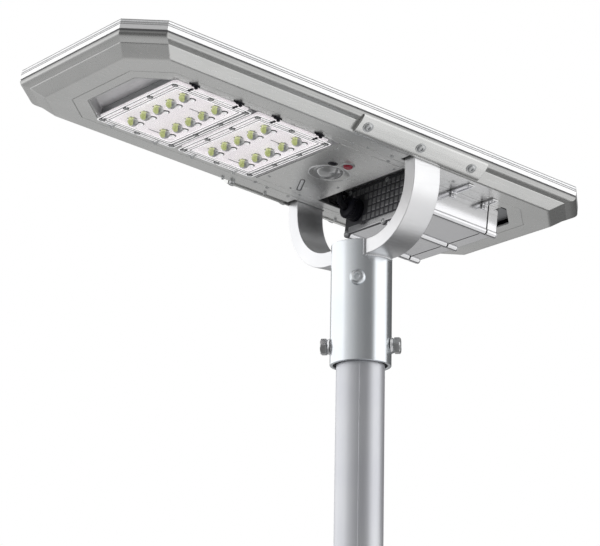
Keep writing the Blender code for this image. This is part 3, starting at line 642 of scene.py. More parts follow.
# LED phosphor with painted light from its emission, so it stays bright yellow-green in shade
PHOSPHOR = surface(
    "led_phosphor", ((0.60, 0.67, 0.24), (0.74, 0.79, 0.38)),
    (0.25, 0.30), 0.0, (900.0, EVEN), 0.02, 200.0,
    painted_glow((0.56, 0.62, 0.26), 0.35),
)
CERAMIC = surface(
    "led_base", ((0.30, 0.30, 0.31), (0.42, 0.42, 0.42)),
    (0.3, 0.4), 0.3, (900.0, EVEN), 0.05, 90.0
)
CLEAR = surface(
    "clear_lens", ((0.86, 0.88, 0.88), (0.94, 0.95, 0.95)),
    (0.06, 0.12), 0.0, (300.0, EVEN), 0.03, 20.0,
    (("Alpha", 0.16),),
)
# Glowing white of the raised lines and second lobes on the clear lenses: painted highlights
PAINTED_HIGHLIGHT_WHITE = surface(
    "lens_ridge", ((0.92, 0.92, 0.93), (0.98, 0.98, 0.98)),
    (0.10, 0.18), 0.0, (300.0, EVEN), 0.02, 30.0,
    (("Alpha", 0.9), *painted_glow((1.0, 0.99, 1.0), 0.4)),
)
# Near-black of the rings on the clear lenses and round the module screws: painted dark reflection lines
PAINTED_DARK_RINGS = surface(
    "lens_groove", ((0.05, 0.05, 0.055), (0.22, 0.22, 0.225)),
    (0.15, 0.25), 0.2, (300.0, EVEN), 0.03, 60.0,
    (("Alpha", 0.85),),
)
DOME = surface(
    "lens_dome", ((0.96, 0.97, 0.97), (1.0, 1.0, 1.0)),
    (0.02, 0.05), 0.0, (200.0, EVEN), 0.01, 30.0,
    (("Transmission Weight", 1.0), ("IOR", 1.49)),
)
GLASS = surface(
    "panel_glass", ((0.02, 0.03, 0.05), (0.03, 0.04, 0.06)),
    (0.05, 0.10), 0.0, (60.0, EVEN), 0.01, 8.0,
    (("Alpha", 0.30), ("Coat Weight", 0.5)),
)
CELLS = cell_material()
SILVER = surface(
    "busbar_silver", ((0.62, 0.62, 0.64), (0.74, 0.74, 0.75)),
    (0.25, 0.35), 0.9, (900.0, ALONG_S), 0.05
)
SHEET = surface(
    "white_sheet", ((0.80, 0.80, 0.80), (0.88, 0.88, 0.88)),
    (0.5, 0.6), 0.0, (500.0, EVEN), 0.08
)
GREEN = surface(
    "circuit_board", ((0.02, 0.16, 0.06), (0.03, 0.22, 0.09)),
    (0.35, 0.5), 0.0, (500.0, EVEN), 0.1, 60.0,
)
MILKY = surface(
    "sensor_lens", ((0.46, 0.465, 0.47), (0.52, 0.525, 0.53)),
    (0.14, 0.20), 0.45, (900.0, EVEN), 0.02, 60.0,
    (("Coat Weight", 0.5),),
)
RED = surface(
    "red_button", ((0.36, 0.004, 0.03), (0.46, 0.008, 0.05)),
    (0.25, 0.35), 0.0, (700.0, EVEN), 0.08, 90.0,
    (("Coat Weight", 0.3),),
)
WRAP = surface(
    "pack_wrap", ((0.08, 0.30, 0.55), (0.12, 0.38, 0.64)),
    (0.25, 0.4), 0.0, (300.0, EVEN), 0.1, 40.0
)


# ---------------------------------------------------------------- small fasteners
def pan_screw(radius, height, at, direction, roll=0.0):
    """Pan-head screw with a hexagon recess."""
    profile = (
        (0.0, height * 0.35),
        (radius * 0.30, height * 0.35, "hex"),
        (radius * 0.38, height * 0.92, "hex"),
        (radius * 0.50, height),
        (radius * 0.74, height * 0.92),
        (radius * 0.92, height * 0.66),
        (radius, height * 0.25),
        (radius * 0.97, -0.4),
        (0.0, -0.4),
    )
    return moved(turned(profile, 24), facing(at, direction, roll))


def washer(radius, at, direction):
    """Flat ring under a screw's head."""
    profile = ((0.5, 0.5), (1.24, 0.5), (1.3, 0.3), (1.3, -0.3), (0.5, -0.3))
    return moved(turned([(radius * r, h) for r, h in profile], 24), facing(at, direction))


def hex_head(across, height, at, direction, roll=0.0):
    """Hexagon bolt head, chamfered on both sides."""
    half = across / 2
    profile = (
        (0.0, height * 0.94),
        (half * 0.62, height * 0.94),
        (half * 0.70, height),
        (half * 0.96, height),
        (half, height * 0.86, "hex"),
        (half, height * 0.12, "hex"),
        (half * 0.97, 0.0),
        (0.0, 0.0),
    )
    return moved(turned(profile, 48), facing(at, direction, roll))


# ---------------------------------------------------------------- pole, sleeve, yoke
def radial(azimuth, distance, z):
    a = math.radians(azimuth)
    return Vector((distance * math.cos(a), distance * math.sin(a), z))


def tube_profile(radius, inner, low, high, edge):
    """Section of a tube with rounded rims."""
    return (
        (radius - edge, high),
        (radius - edge * 0.3, high - edge * 0.3),
        (radius, high - edge),
        (radius, low + edge),
        (radius - edge * 0.3, low + edge * 0.3),
        (radius - edge, low),
        (inner + edge, low),
        (inner, low + edge),
        (inner, high - edge),
        (inner + edge, high),
    )


def build_pole():
    tube_part = turned(tube_profile(POLE_R, POLE_IN_R, 0.0, POLE_TOP, 0.8), 96)
    seam = tube([radial(230.0, POLE_R - 0.25, 4 + k * 8) for k in range(44)], 0.55, 8, 0.12, 21)
    piece("pole_body", joined([tube_part, seam]), POLE_PAINT, ["pole_tube"], "pole", WORLD)


def yoke_section():
    """Outline of the yoke's band across the head: its outer edge, then its inner edge back."""
    edges = []
    for offset in (0.0, YOKE_OUT_Y - YOKE_IN_Y):
        radius = YOKE_OUT_Y - YOKE_FLAT_Y - offset
        centre = (YOKE_FLAT_Y, YOKE_BOTTOM + YOKE_OUT_Y - YOKE_FLAT_Y)
        half = [(YOKE_OUT_Y - offset, YOKE_TOP)]
        half.extend(arc(centre, radius, 0, -90, 28))
        edges.append(half + [(-y, z) for y, z in reversed(half)])
    return edges[0] + edges[1][::-1]


def build_yoke():
    outline = yoke_section()
    bm = loft([[(x, y, z) for y, z in outline] for x in (-YOKE_HALF_X, YOKE_HALF_X)])
    tips = []
    for side in (-1, 1):
        reach = YOKE_TIP / 2
        turn = Matrix.Translation((side * YOKE_HALF_X, 0, YOKE_TOP))
        turn @= Matrix.Rotation(math.pi / 4, 4, "Y")
        cutter = block((-reach, -140, -reach), (reach, 140, reach), 0.1, 1)
        tips.append(moved(cutter, turn))
    bm = bevelled(carved(bm, tips), 1.0, 3)
    piece("yoke_band", bm, YOKE_METAL, ["yoke"], "bracket", WORLD)

    beads = []
    for side in (-1, 1):
        reach = YOKE_HALF_X + 0.6
        path = [(-reach, SLEEVE_Z[1] - 1 - k * 2) for k in range(10)]
        path.extend((-reach + k * 2 * reach / 20, YOKE_BOTTOM - 0.6) for k in range(21))
        path.extend((reach, YOKE_BOTTOM + 1 + k * 2) for k in range(10))
        points = [(x, side * math.sqrt((SLEEVE_R + 0.4) ** 2 - x * x), z) for x, z in path]
        beads.append(tube(smooth_path(points, 3), 1.7, 10, 0.16, 38))
    piece("yoke_weld", joined(beads), WELD, (), "bracket", WORLD, 60.0)


def build_sleeve():
    low, high = SLEEVE_Z
    tube_part = turned(tube_profile(SLEEVE_R, SLEEVE_IN_R, low, high, 0.9), 96)
    slot_half = YOKE_HALF_X + 0.3
    slot = block((-slot_half, -50, YOKE_BOTTOM - 0.3), (slot_half, 50, high + 10), 0.1, 1)
    sleeve = carved(tube_part, [slot])
    piece("sleeve_body", sleeve, SLEEVE_PAINT, ["sleeve_tube"], "bracket", WORLD)

    top = high - 0.6
    lid = ((0, 0), (30, 0), (32.4, -0.5), (33.3, -1.6), (33.3, -4.0), (0, -4.0))
    lid = turned([(r, top + h) for r, h in lid], 64)
    band = block((-YOKE_HALF_X - 0.2, -50, top - 10), (YOKE_HALF_X + 0.2, 50, top + 5), 0.1, 1)
    piece("sleeve_lid", carved(lid, [band]), SLEEVE_PAINT, (), "bracket", WORLD)
    collar = ((30.6, 8), (33.2, 8), (33.2, 1.2), (32.4, 0.7), (31.2, 0.7), (30.6, 1.4))
    collar = turned([(r, low + h) for r, h in collar], 64)
    piece("sleeve_collar", collar, RUBBER, (), "bracket", WORLD)

    for label, azimuth in (("left", 135.0), ("right", -45.0)):
        out = radial(azimuth, 1, 0)
        boss = ((6.4, 2.7), (8.6, 2.7), (9.3, 2.0), (9.8, 0.6), (10.6, -0.6), (6.4, -0.6))
        bm = moved(turned(boss, 40), facing(radial(azimuth, SLEEVE_R + 0.3, CLAMP_Z), out))
        piece("clamp_seat_" + label, bm, WELD, ["clamp_boss_" + label], "bracket", WORLD)
        head = hex_head(18.6, 8.2, radial(azimuth, SLEEVE_R + 3.3, CLAMP_Z), out, math.radians(30))
        shank = turned(((0, 1), (5.9, 1), (5.9, -10), (5.2, -10.6), (0, -10.6)), 32)
        shank = moved(shank, facing(radial(azimuth, SLEEVE_R + 3.0, CLAMP_Z), out))
        bm = joined([head, shank])
        piece("clamp_hex_" + label, bm, STEEL, ["clamp_bolt_" + label], "bracket", WORLD)

    out = radial(-135.0, 1, 0)
    at = radial(-135.0, SLEEVE_R - 0.6, SLEEVE_SCREW_Z)
    dome = (
        (0.0, 3.0), (2.6, 3.0, "hex"), (3.0, 5.6, "hex"), (3.6, 5.9), (6.0, 5.7), (7.4, 5.1),
        (7.8, 4.6), (8.2, 4.6), (9.2, 3.6), (9.9, 2.0), (10.0, -1.0), (0.0, -1.0),
    )
    bm = moved(turned(dome, 48), facing(at, out))
    piece("sleeve_screw_head", bm, SLEEVE_PAINT, ["sleeve_screw"], "bracket", WORLD)


# ---------------------------------------------------------------- head shell
def build_pan():
    loops = [at_level(pan_outline(inset), w) for inset, w in WALL]
    for inset, w in ((-0.55, BOTTOM), (-0.35, -19.7), (0.35, -19.7), (0.55, BOTTOM)):
        loops.append(at_level(rounded(octagon(BORDER, inset), 2.5), w))
    for inset, w in ((-0.8, BOTTOM), (-0.2, -20.4), (0.0, -19.9), (0.0, BOTTOM + SKIN)):
        loops.append(at_level(rounded(octagon(OPENING, inset), 2.5), w))
    for inset, w in WALL_BACK:
        loops.append(at_level(pan_outline(inset), w))
    slots = []
    windows = []
    for side in (-1, 1):
        near, far = sorted((side * 107.8, side * 135.0))
        slots.append(block((PIVOT_S - 24.4, near, -26), (PIVOT_S + 24.4, far, -12), 2.0, 3))
        near, far = sorted((side * 126.5, side * 156.0))
        windows.append(block((COVER_S[0] + 24, near, -15.5), (COVER_S[1] - 34, far, -3.4), 1.0, 1))
    bm = carved(carved(loft(loops, ring=True), slots), windows)
    piece("pan_skin", bm, PAN_METAL, ["pan_shell"])


def cover_point(side, s, height=0.0):
    """Point over a side cover's face, at a height along its normal."""
    v, w = COVER_FACE
    return Vector((s, side * (v + COVER_NORMAL[0] * height), w + COVER_NORMAL[1] * height))


def build_covers():
    for side, label in ((-1, "near"), (1, "far")):
        section = [(side * v, w) for v, w in COVER_OUTSIDE + COVER_INSIDE]
        bm = loft([[(s, v, w) for v, w in section] for s in COVER_S])
        ends = [e for e in bm.edges if abs(e.verts[0].co.x - e.verts[1].co.x) < 0.01]
        bmesh.ops.bevel(bm, geom=ends, offset=0.5, segments=2, profile=0.5, affect="EDGES")
        piece("cover_" + label, bm, COVER_METAL, ["side_cover_" + label])
        out = (0, side * COVER_NORMAL[0], COVER_NORMAL[1])
        screws = []
        for number, s in enumerate(COVER_SCREW_S):
            at = cover_point(side, s, 0.3)
            screws.append(pan_screw(5.2, 2.6, at, out, 0.4 * number))
            screws.append(washer(5.2, at, out))
        names = ["cover_screw_%s_%d" % (label, number) for number in (1, 2, 3)]
        piece("cover_screws_" + label, joined(screws), STEEL, names)


def rim_ring(inset, width, low, high):
    """Plain ring under or round the frame."""
    section = ((inset, low), (inset, high), (inset + width, high), (inset + width, low))
    return stack(lambda d: octagon(RIM, d), section, ring=True)


def mitred_frame(section):
    """Eight bars round the rim with mitred joints: the section is (inset from the rim, w)."""
    bars = []
    rings = [octagon(RIM, inset) for inset, w in section]
    for i in range(8):
        j = (i + 1) % 8
        starts = []
        ends = []
        for (inset, w), ring in zip(section, rings):
            first = Vector(ring[i])
            last = Vector(ring[j])
            along = (last - first).normalized() * MITRE_GAP / 2
            starts.append((*(first + along), w))
            ends.append((*(last - along), w))
        bars.append(loft([starts, ends]))
    return joined(bars)


def build_panel():
    seal = rim_ring(0.9, 2.5, 0.05, 1.55)
    piece("seal_ring", seal, SEAL_RUBBER, ["panel_seal"])

    lower = (
        (0.5, 1.6), (0.2, 1.9), (0.2, 6.9), (0.6, 7.4), (14.0, 7.4), (14.0, 5.8), (5.0, 5.4),
        (4.0, 1.6),
    )
    piece("frame_lower", mitred_frame(lower), FRAME_WHITE, ["panel_frame_lower"])

    upper = (
        (1.5, 7.7), (1.1, 8.0), (0.7, 8.3), (0.6, 9.6), (1.2, 9.8), (1.2, 10.2), (0.6, 10.4),
        (0.8, 12.7), (1.2, 13.4), (2.0, 13.8), (11.0, 13.8), (11.0, 13.1), (6.0, 13.1), (6.0, 7.7),
    )
    bars = mitred_frame(upper)
    piece("frame_upper", bars, FRAME_METAL, ["panel_frame_upper"])
    # Grey rings that paint the shade in the frame's grooves and along its top edge
    lines = [rim_ring(inset, 1.5, low, high) for inset, low, high in FRAME_SHADE_LINES]
    piece("frame_shade_lines", joined(lines), FRAME_SHADE_LINE)
    tops = []
    middles = octagon(RIM, 6.0)
    for i, corner in enumerate(middles):
        middle = (Vector(corner) + Vector(middles[(i + 1) % 8])) / 2
        tops.append(pan_screw(2.0, 0.9, (*middle, 13.7), (0, 0, 1)))
    piece("frame_screws", joined(tops), STEEL)

    outline = octagon(RIM, GLASS_INSET)
    glass = slab(outline, 9.4, 12.8)
    piece("glass_sheet", bevelled(glass, 0.4), GLASS, ["panel_glass"])
    back = slab(outline, 7.9, 8.4)
    piece("back_sheet", bevelled(back, 0.1, 1), SHEET, ["panel_backsheet"])

    count_s, count_v = CELL_COUNT
    low_s, high_s = RIM[0] + CELL_INSET, RIM[1] - CELL_INSET
    half_v = RIM[2] - CELL_INSET
    pitch_s = (high_s - low_s) / count_s
    pitch_v = 2 * half_v / count_v
    cells = []
    strips = []
    for i in range(count_s):
        for j in range(count_v):
            s = low_s + (i + 0.5) * pitch_s
            v = -half_v + (j + 0.5) * pitch_v
            half = (pitch_s / 2 - 1.0, pitch_v / 2 - 1.0)
            at_corner = i in (0, count_s - 1) and j in (0, count_v - 1)
            outline = []
            for k, (a, b) in enumerate(((-1, -1), (1, -1), (1, 1), (-1, 1))):
                outer = at_corner and a == (-1 if i == 0 else 1) and b == (-1 if j == 0 else 1)
                cut = 27.0 if outer else 5.0
                ends = [
                    (s + a * (half[0] - cut), v + b * half[1]),
                    (s + a * half[0], v + b * (half[1] - cut)),
                ]
                outline.extend(ends if k % 2 else ends[::-1])
            cells.append(slab(outline, 8.7, 9.05))
            for line in (-0.5, 0.0, 0.5):
                bar_v = v + line * half[1]
                reach = half[0] - (18.0 if at_corner else 1.0)
                low = (s - reach, bar_v - 0.6, 9.04)
                strips.append(block(low, (s + reach, bar_v + 0.6, 9.12), 0.02, 1))
    piece("solar_cells", joined(cells), CELLS, ["solar_cell_layer"])
    piece("cell_busbars", joined(strips), SILVER)


# ---------------------------------------------------------------- LED side
def tray_outline(inset):
    """Left part of the opening, cut square on its right."""
    low_s, _, half, corner = OPENING
    low_s += inset
    right = SENSOR_S[0] - 0.6 - inset
    half -= inset
    corners = [
        (low_s, -half + corner),
        (low_s + corner, -half),
        (right, -half), (right, half),
        (low_s + corner, half),
        (low_s, half - corner),
    ]
    return rounded(corners, 2.0)


def build_tray():
    section = (
        (0.4, -20.3), (1.0, -20.5), (1.5, -20.2), (2.6, -11.4), (3.4, -9.6), (5.0, -9.0),
        (5.0, -7.4), (1.6, -7.4), (0.4, -18.0),
    )
    sides = stack(tray_outline, section, ring=True)
    floor = slab(tray_outline(4.6), -9.0, -7.5)
    piece("tray_skin", joined([sides, floor]), TRAY_METAL, ["led_tray"])


def led_places(centre):
    """Centres of one module's LEDs: two rows of five."""
    return [(centre + row * LED_ROW_S, k * LED_PITCH_V) for row in (-1, 1) for k in range(-2, 3)]


def module_screw_places(centre):
    """Corners, two on each long side, one on each short side."""
    edge = 6.6
    far_s = MODULE_HALF_S - edge
    far_v = MODULE_HALF_V - edge
    places = [(a * far_s, b * far_v) for a in (-1, 1) for b in (-1, -0.33, 0.33, 1)]
    places.extend((0.0, b * far_v) for b in (-1, 1))
    return [(centre + s, v) for s, v in places]


def ball_profile(radius, height, foot, steps=8):
    """Half an ellipsoid over a straight foot, for turned()."""
    points = [(0.0, height)]
    for k in range(1, steps + 1):
        a = math.pi / 2 * k / steps
        points.append((radius * math.sin(a), height * math.cos(a)))
    points.extend(((radius, -foot), (0.0, -foot)))
    return points


def module_outline(centre, inset):
    """Outline of a module's lens plate at an inset; its corners get tighter as it shrinks."""
    corner = max(MODULE_CORNER - inset * 0.25, 1.2)
    return rectangle((centre, 0.0), MODULE_HALF_S - inset, MODULE_HALF_V - inset, corner)


def ring(centre, inset, width, w, height):
    """Raised line round a module's lens plate."""
    shoulder = w - height * 0.7
    peak = w - height
    section = (
        (0, w), (0, shoulder), (width * 0.25, peak), (width * 0.75, peak), (width, shoulder), (width, w)
    )
    return stack(lambda d: module_outline(centre, inset + d), section, ring=True)


def build_leds(label, centre):
    """LEDs of one module, their grey cups and lens domes, and the marks round them."""
    bases, phosphors, prints, domes, cups, lobes, feet = [[] for _ in range(7)]
    low, high = PRINT_W
    for s, v in led_places(centre):
        bases.append(block((s - 4.6, v - 4.6, -20.3), (s + 4.6, v + 4.6, -19.6), 0.25, 2))
        under = Matrix.Translation((s, v, 0)) @ facing((0, 0, LED_W), DOWN)
        for parts, shift, size, steps in (
            (phosphors, (-1.2, -0.6, 0), (3.7, 5.0, 3.6), 24),
            (cups, (2.6, -1.2, 0), (4.7, 4.2, 2.0), 24),
            (domes, (1.0, -0.6, 0), (6.6, 6.4, 0.0), 32),
            (lobes, SECOND_LOBE, (3.2, 3.0, 0.0), 20),
        ):
            parts.append(moved(turned(ball_profile(*size), steps), Matrix.Translation(shift) @ under))
        foot = ((3.1, 0.9), (4.0, 0.7), (4.4, 0.2), (4.4, -0.3), (3.1, -0.3))
        feet.append(moved(turned(foot, 20), Matrix.Translation(SECOND_LOBE) @ under))
        for shift in (-5.4, 5.4):
            middle = v + shift
            prints.append(block((s - 1.5, middle - 0.5, low), (s + 1.5, middle + 0.5, high), 0.05, 1))
    for shift, v in ((8.0, -35.0), (10.5, 57.0)):
        start = (centre + shift - 8.5, v - 0.6, -24.5)
        prints.append(block(start, (centre + shift + 8.5, v + 0.6, LENS_W), 0.2, 1))
    # The second lobes are painted highlights in glowing white, and their feet are painted dark
    # reflection rings
    for name, parts, look, slot in (
        ("led_bases_", bases, CERAMIC, "led_board"),
        ("led_phosphors_", phosphors, PHOSPHOR, "led_board"),
        ("board_print_", prints, PRINT, "led_board"),
        ("led_cups_", cups, STEEL, "inner_aluminium"),
        ("lens_lobes_", lobes, PAINTED_HIGHLIGHT_WHITE, "clear_lens"),
        ("lens_feet_", feet, PAINTED_DARK_RINGS, "clear_lens"),
    ):
        piece(name + label, joined(parts), look)
    piece("lens_domes_" + label, joined(domes), DOME, sharp=60.0)


def build_lens_plate(label, centre):
    """Clear plate of one module, with holes for the LEDs and ridges and grooves round its edge: raised
    rings that paint white highlights and dark reflection lines.
    """
    section = (
        (15.5, -22.1), (2.6, -22.1), (2.4, -20.9), (0.2, -20.9), (0.0, -21.1), (0.0, -23.4),
        (0.5, -23.9), (1.2, -24.1), (13.4, -24.1), (14.2, -23.5), (15.5, -23.5),
    )
    plate = stack(lambda inset: module_outline(centre, inset), section)
    hole = ((0, 3), (5.6, 3), (5.6, -3), (0, -3))
    holes = []
    for s, v in led_places(centre):
        holes.append(moved(turned(hole, 24), facing((s, v, -22.8), (0, 0, 1))))
    plate = carved(plate, holes)
    piece("lens_plate_body_" + label, plate, CLEAR, ["lens_plate_" + label])
    light = ((0.9, 1.3), (4.6, 1.2), (9.6, 1.4), (13.6, 0.9))
    light = [ring(centre, d, width, -24.05, 0.6) for d, width in light]
    piece("lens_ridges_" + label, joined(light), PAINTED_HIGHLIGHT_WHITE)
    dark = ((2.9, 0.8), (8.4, 0.6), (12.0, 0.8))
    dark = [ring(centre, d, width, LENS_W, 0.35) for d, width in dark]
    piece("lens_grooves_" + label, joined(dark), PAINTED_DARK_RINGS)


def build_module_fasteners(label, centre):
    """Screws in their seats, and a pair of clips on each short side of the module."""
    screws = []
    rings = []
    seat = ((2.4, 0.9), (3.7, 0.9), (4.0, 0.5), (4.0, -0.3), (2.4, -0.3))
    for number, (s, v) in enumerate(module_screw_places(centre)):
        screws.append(pan_screw(2.5, 1.3, (s, v, -24.3), DOWN, 0.5 * number))
        rings.append(below(seat, (s, v), LENS_W, 20))
    piece("module_screws_" + label, joined(screws), STEEL)
    # The seats are painted dark reflection rings round the screws
    piece("module_seats_" + label, joined(rings), PAINTED_DARK_RINGS)

    knob = ((0, 2.0), (1.6, 1.9), (2.2, 1.2), (2.3, 0), (0, 0))
    for side, tag, look, slot in (
        (-1, "near", BLACK, "black_plastic"),
        (1, "far", STEEL, "fastener_steel"),
    ):
        clips = []
        for shift in (-CLIP_SHIFT_S, CLIP_SHIFT_S):
            s = centre + shift
            v = side * CLIP_V
            tongue_v = side * 83.0
            clips.append(block((s - 3.6, v - 2.0, -23.0), (s + 3.6, v + 2.0, -20.7), 0.6, 3))
            clips.append(block((s - 7.5, v - 0.6, -22.0), (s + 7.5, v + 0.6, -20.7), 0.3, 2))
            start = (s - 1.6, tongue_v - 4.5, -25.2)
            clips.append(block(start, (s + 1.6, tongue_v + 5.5, -24.1), 0.4, 2))
            clips.append(below(knob, (s + 2.2, v), -23.4, 16))
        piece("module_clips_%s_%s" % (tag, label), joined(clips), look)


def build_modules():
    for label, centre in MODULES:
        outline = rectangle((centre, 0), MODULE_HALF_S - 4, MODULE_HALF_V - 4, 3)
        board = bevelled(slab(outline, *BOARD_W), 0.2, 1)
        piece("board_" + label, board, BOARD, ["led_board_" + label])
        build_leds(label, centre)
        build_lens_plate(label, centre)
        build_module_fasteners(label, centre)


# ---------------------------------------------------------------- sensors and switch
def oblong(length, width, steps=8):
    """Flat outline with round ends."""
    radius = width / 2
    reach = length / 2 - radius
    return arc((reach, 0), radius, -90, 90, steps) + arc((-reach, 0), radius, 90, 270, steps)


def build_sensor():
    low_s, high_s = SENSOR_S
    half = OPENING[2] - 0.3
    plate = block((low_s, -half, BOTTOM), (high_s, half, BOTTOM + 3.6), 0.35, 2)
    dish = (
        (0, 2), (26.0, 2), (25.6, 0.4), (25.0, -0.1), (19.6, -3.0), (17.6, -3.2), (17.4, -9), (0, -9)
    )
    cuts = [
        below(dish, MOTION_AT, BOTTOM, 64),
        below(((0, 2), (6.9, 2), (6.9, -9), (0, -9)), BUTTON_AT, BOTTOM),
        below(((0, 2), (5.0, 2), (5.0, -9), (0, -9)), WINDOW_AT, BOTTOM),
    ]
    groove = slab(oblong(INSERT_LENGTH, INSERT_WIDTH), -22.0, -19.2)
    turn = Matrix.Translation((*INSERT_AT, 0)) @ Matrix.Rotation(INSERT_ANGLE, 4, "Z")
    cuts.append(moved(groove, turn))
    piece("sensor_plate_face", carved(plate, cuts), PAN_METAL, ["sensor_plate"])

    lens = (
        (0, 6.4), (4, 6.1), (8, 5.3), (11.4, 3.9), (14.2, 1.9), (16.0, -0.4), (16.9, -2.4),
        (17.1, -4.8), (20, -4.8), (20, -6.2), (0, -6.2),
    )
    piece("motion_dome", below(lens, MOTION_AT, BOTTOM, 64), MILKY, ["motion_sensor_lens"])
    rim = ((17.2, -2.3), (18.3, -2.3), (18.9, -2.8), (18.9, -3.4), (17.2, -3.4))
    outer = ((25.0, 0.35), (25.9, 0.5), (26.6, 0.3), (26.8, -0.2), (25.0, -0.2))
    rims = joined([below(rim, MOTION_AT, BOTTOM, 64), below(outer, MOTION_AT, BOTTOM, 64)])
    piece("dish_rims", rims, FRAME_METAL)

    eye = ((0, 1.5), (1.8, 1.35), (3.3, 0.9), (4.4, 0.1), (4.7, -0.9), (4.7, -4.4), (0, -4.4))
    piece("window_eye", below(eye, WINDOW_AT, BOTTOM), BLACK, ["light_sensor_window"])
    trim = ((5.0, 0.5), (5.9, 0.5), (6.3, 0.1), (6.3, -0.2), (5.0, -0.2))
    # Trim painted near-black as the shade in the gap round the window
    piece("window_trim", below(trim, WINDOW_AT, BOTTOM), PAINTED_RECESS_SHADE)

    bezel = (
        (6.3, -3.9), (6.3, 1.2), (6.7, 1.5), (7.6, 1.4), (8.4, 0.9), (8.6, 0.2), (6.7, 0.1),
        (6.7, -3.9),
    )
    piece("bezel_ring", below(bezel, BUTTON_AT, BOTTOM, 40), STEEL, ["button_bezel"])
    cap = (
        (0, 3.6), (2.6, 3.65), (3.4, 3.95), (4.3, 3.9), (5.2, 3.4), (5.8, 2.6), (5.9, 1.4),
        (5.9, -1.5), (0, -1.5),
    )
    piece("button_cap", below(cap, BUTTON_AT, BOTTOM, 40), RED, ["power_button"], "button")

    bar = oblong(INSERT_LENGTH - 1.2, INSERT_WIDTH - 1.2)
    insert = bevelled(slab(bar, -20.4, -19.0), 0.4, 2)
    piece("insert_bar", moved(insert, turn), FRAME_METAL, ["status_insert"])
    inside = oblong(INSERT_LENGTH - 0.1, INSERT_WIDTH - 0.1)
    outside = oblong(INSERT_LENGTH + 1.4, INSERT_WIDTH + 1.4)
    levels = ((inside, -20.9), (outside, -20.9), (outside, -20.4), (inside, -19.6))
    edge = loft([at_level(outline, w) for outline, w in levels], ring=True)
    dot = below(((0, 0.5), (1.0, 0.4), (1.4, 0), (1.4, -0.3), (0, -0.3)), (-51, 80), BOTTOM, 16)
    # Edge and dot in the near-black that paints recess shade round the insert
    piece("insert_edge", joined([moved(edge, turn), dot]), PAINTED_RECESS_SHADE)

    flush = [pan_screw(2.6, 0.9, (s, v, BOTTOM), DOWN, s) for s, v in FLUSH_SCREWS]
    flush.extend(pan_screw(2.0, 0.8, (s, v, BOTTOM), DOWN, v) for s, v in SMALL_SCREWS)
    for s, radius, height in FAR_STUDS:
        flush.append(pan_screw(radius, height, (s, STUD_V, BOTTOM), DOWN, s))
    piece("plate_screws", joined(flush), STEEL)


# ---------------------------------------------------------------- battery box
def box_outline(inset=0.0):
    """Section of the box: cut upper corners, a fine line near the top, and three round ribs below."""
    low, high = BOX_W
    half = BOX_HALF_V - inset
    low += inset
    high -= inset
    radius = RIB_R - inset
    line = ((half, -26.0), (half - 0.5, -25.8), (half - 0.5, -25.3), (half, -25.1))
    points = [(-v, w) for v, w in line]
    points.extend(((-half, high - 3), (-half + 0.9, high - 0.9), (-half + 3, high)))
    points.extend(((half - 3, high), (half - 0.9, high - 0.9), (half, high - 3)))
    points.extend(reversed(line))
    points.extend(arc((RIB_V[2], RIB_W), radius, 35, -170, 18))
    points.extend(arc((RIB_V[1], RIB_W), radius, -10, -170, 14))
    points.extend(arc((RIB_V[0], RIB_W), radius, -10, -215, 18))
    return points


def box_slice(stops):
    """Piece of the box's section; each stop is (s, inset)."""
    return loft([[(s, v, w) for v, w in box_outline(inset)] for s, inset in stops])


def strip_across(section, side, low_s, high_s):
    """Bevelled strip along s; its section is (v, w), mirrored by side."""
    return bevelled(loft([[(s, side * v, w) for v, w in section] for s in (low_s, high_s)]), 0.3, 2)


def build_bracket(label, side, s, reach):
    """Strip under the pan that turns down over the box's long side, with its two screws."""
    face = BOX_HALF_V + 0.5
    under = BOTTOM - 0.4
    section = [
        (face, under - 8.6),
        (face + 1.9, under - 8.6),
        (face + 1.9, under - 3.4),
        (face + 2.5, under - 2.3),
        (face + 3.6, under - 1.9),
        (reach - 0.6, under - 1.9), (reach, under - 1.3), (reach, under),
        (face + 1.0, under),
        (face, under - 1.2),
    ]
    strip = strip_across(section, side, s - 4.4, s + 4.4)
    low, high = under - 2.9, under - 1.8
    section = ((face + 4, high), (face + 5, low), (reach - 3, low), (reach - 2, high))
    rib = strip_across(section, side, s + 1.8, s + 3.8)
    screw = pan_screw(2.9, 1.6, (s, side * (face + 1.9), under - 5.6), (0, side, 0))
    foot = pan_screw(2.4, 1.3, (s - 1.6, side * (reach - 4.5), under - 1.9), DOWN)
    bm = joined([strip, rib, screw, foot])
    piece("bracket_strip_" + label, bm, CAP_METAL, ["battery_bracket_" + label])


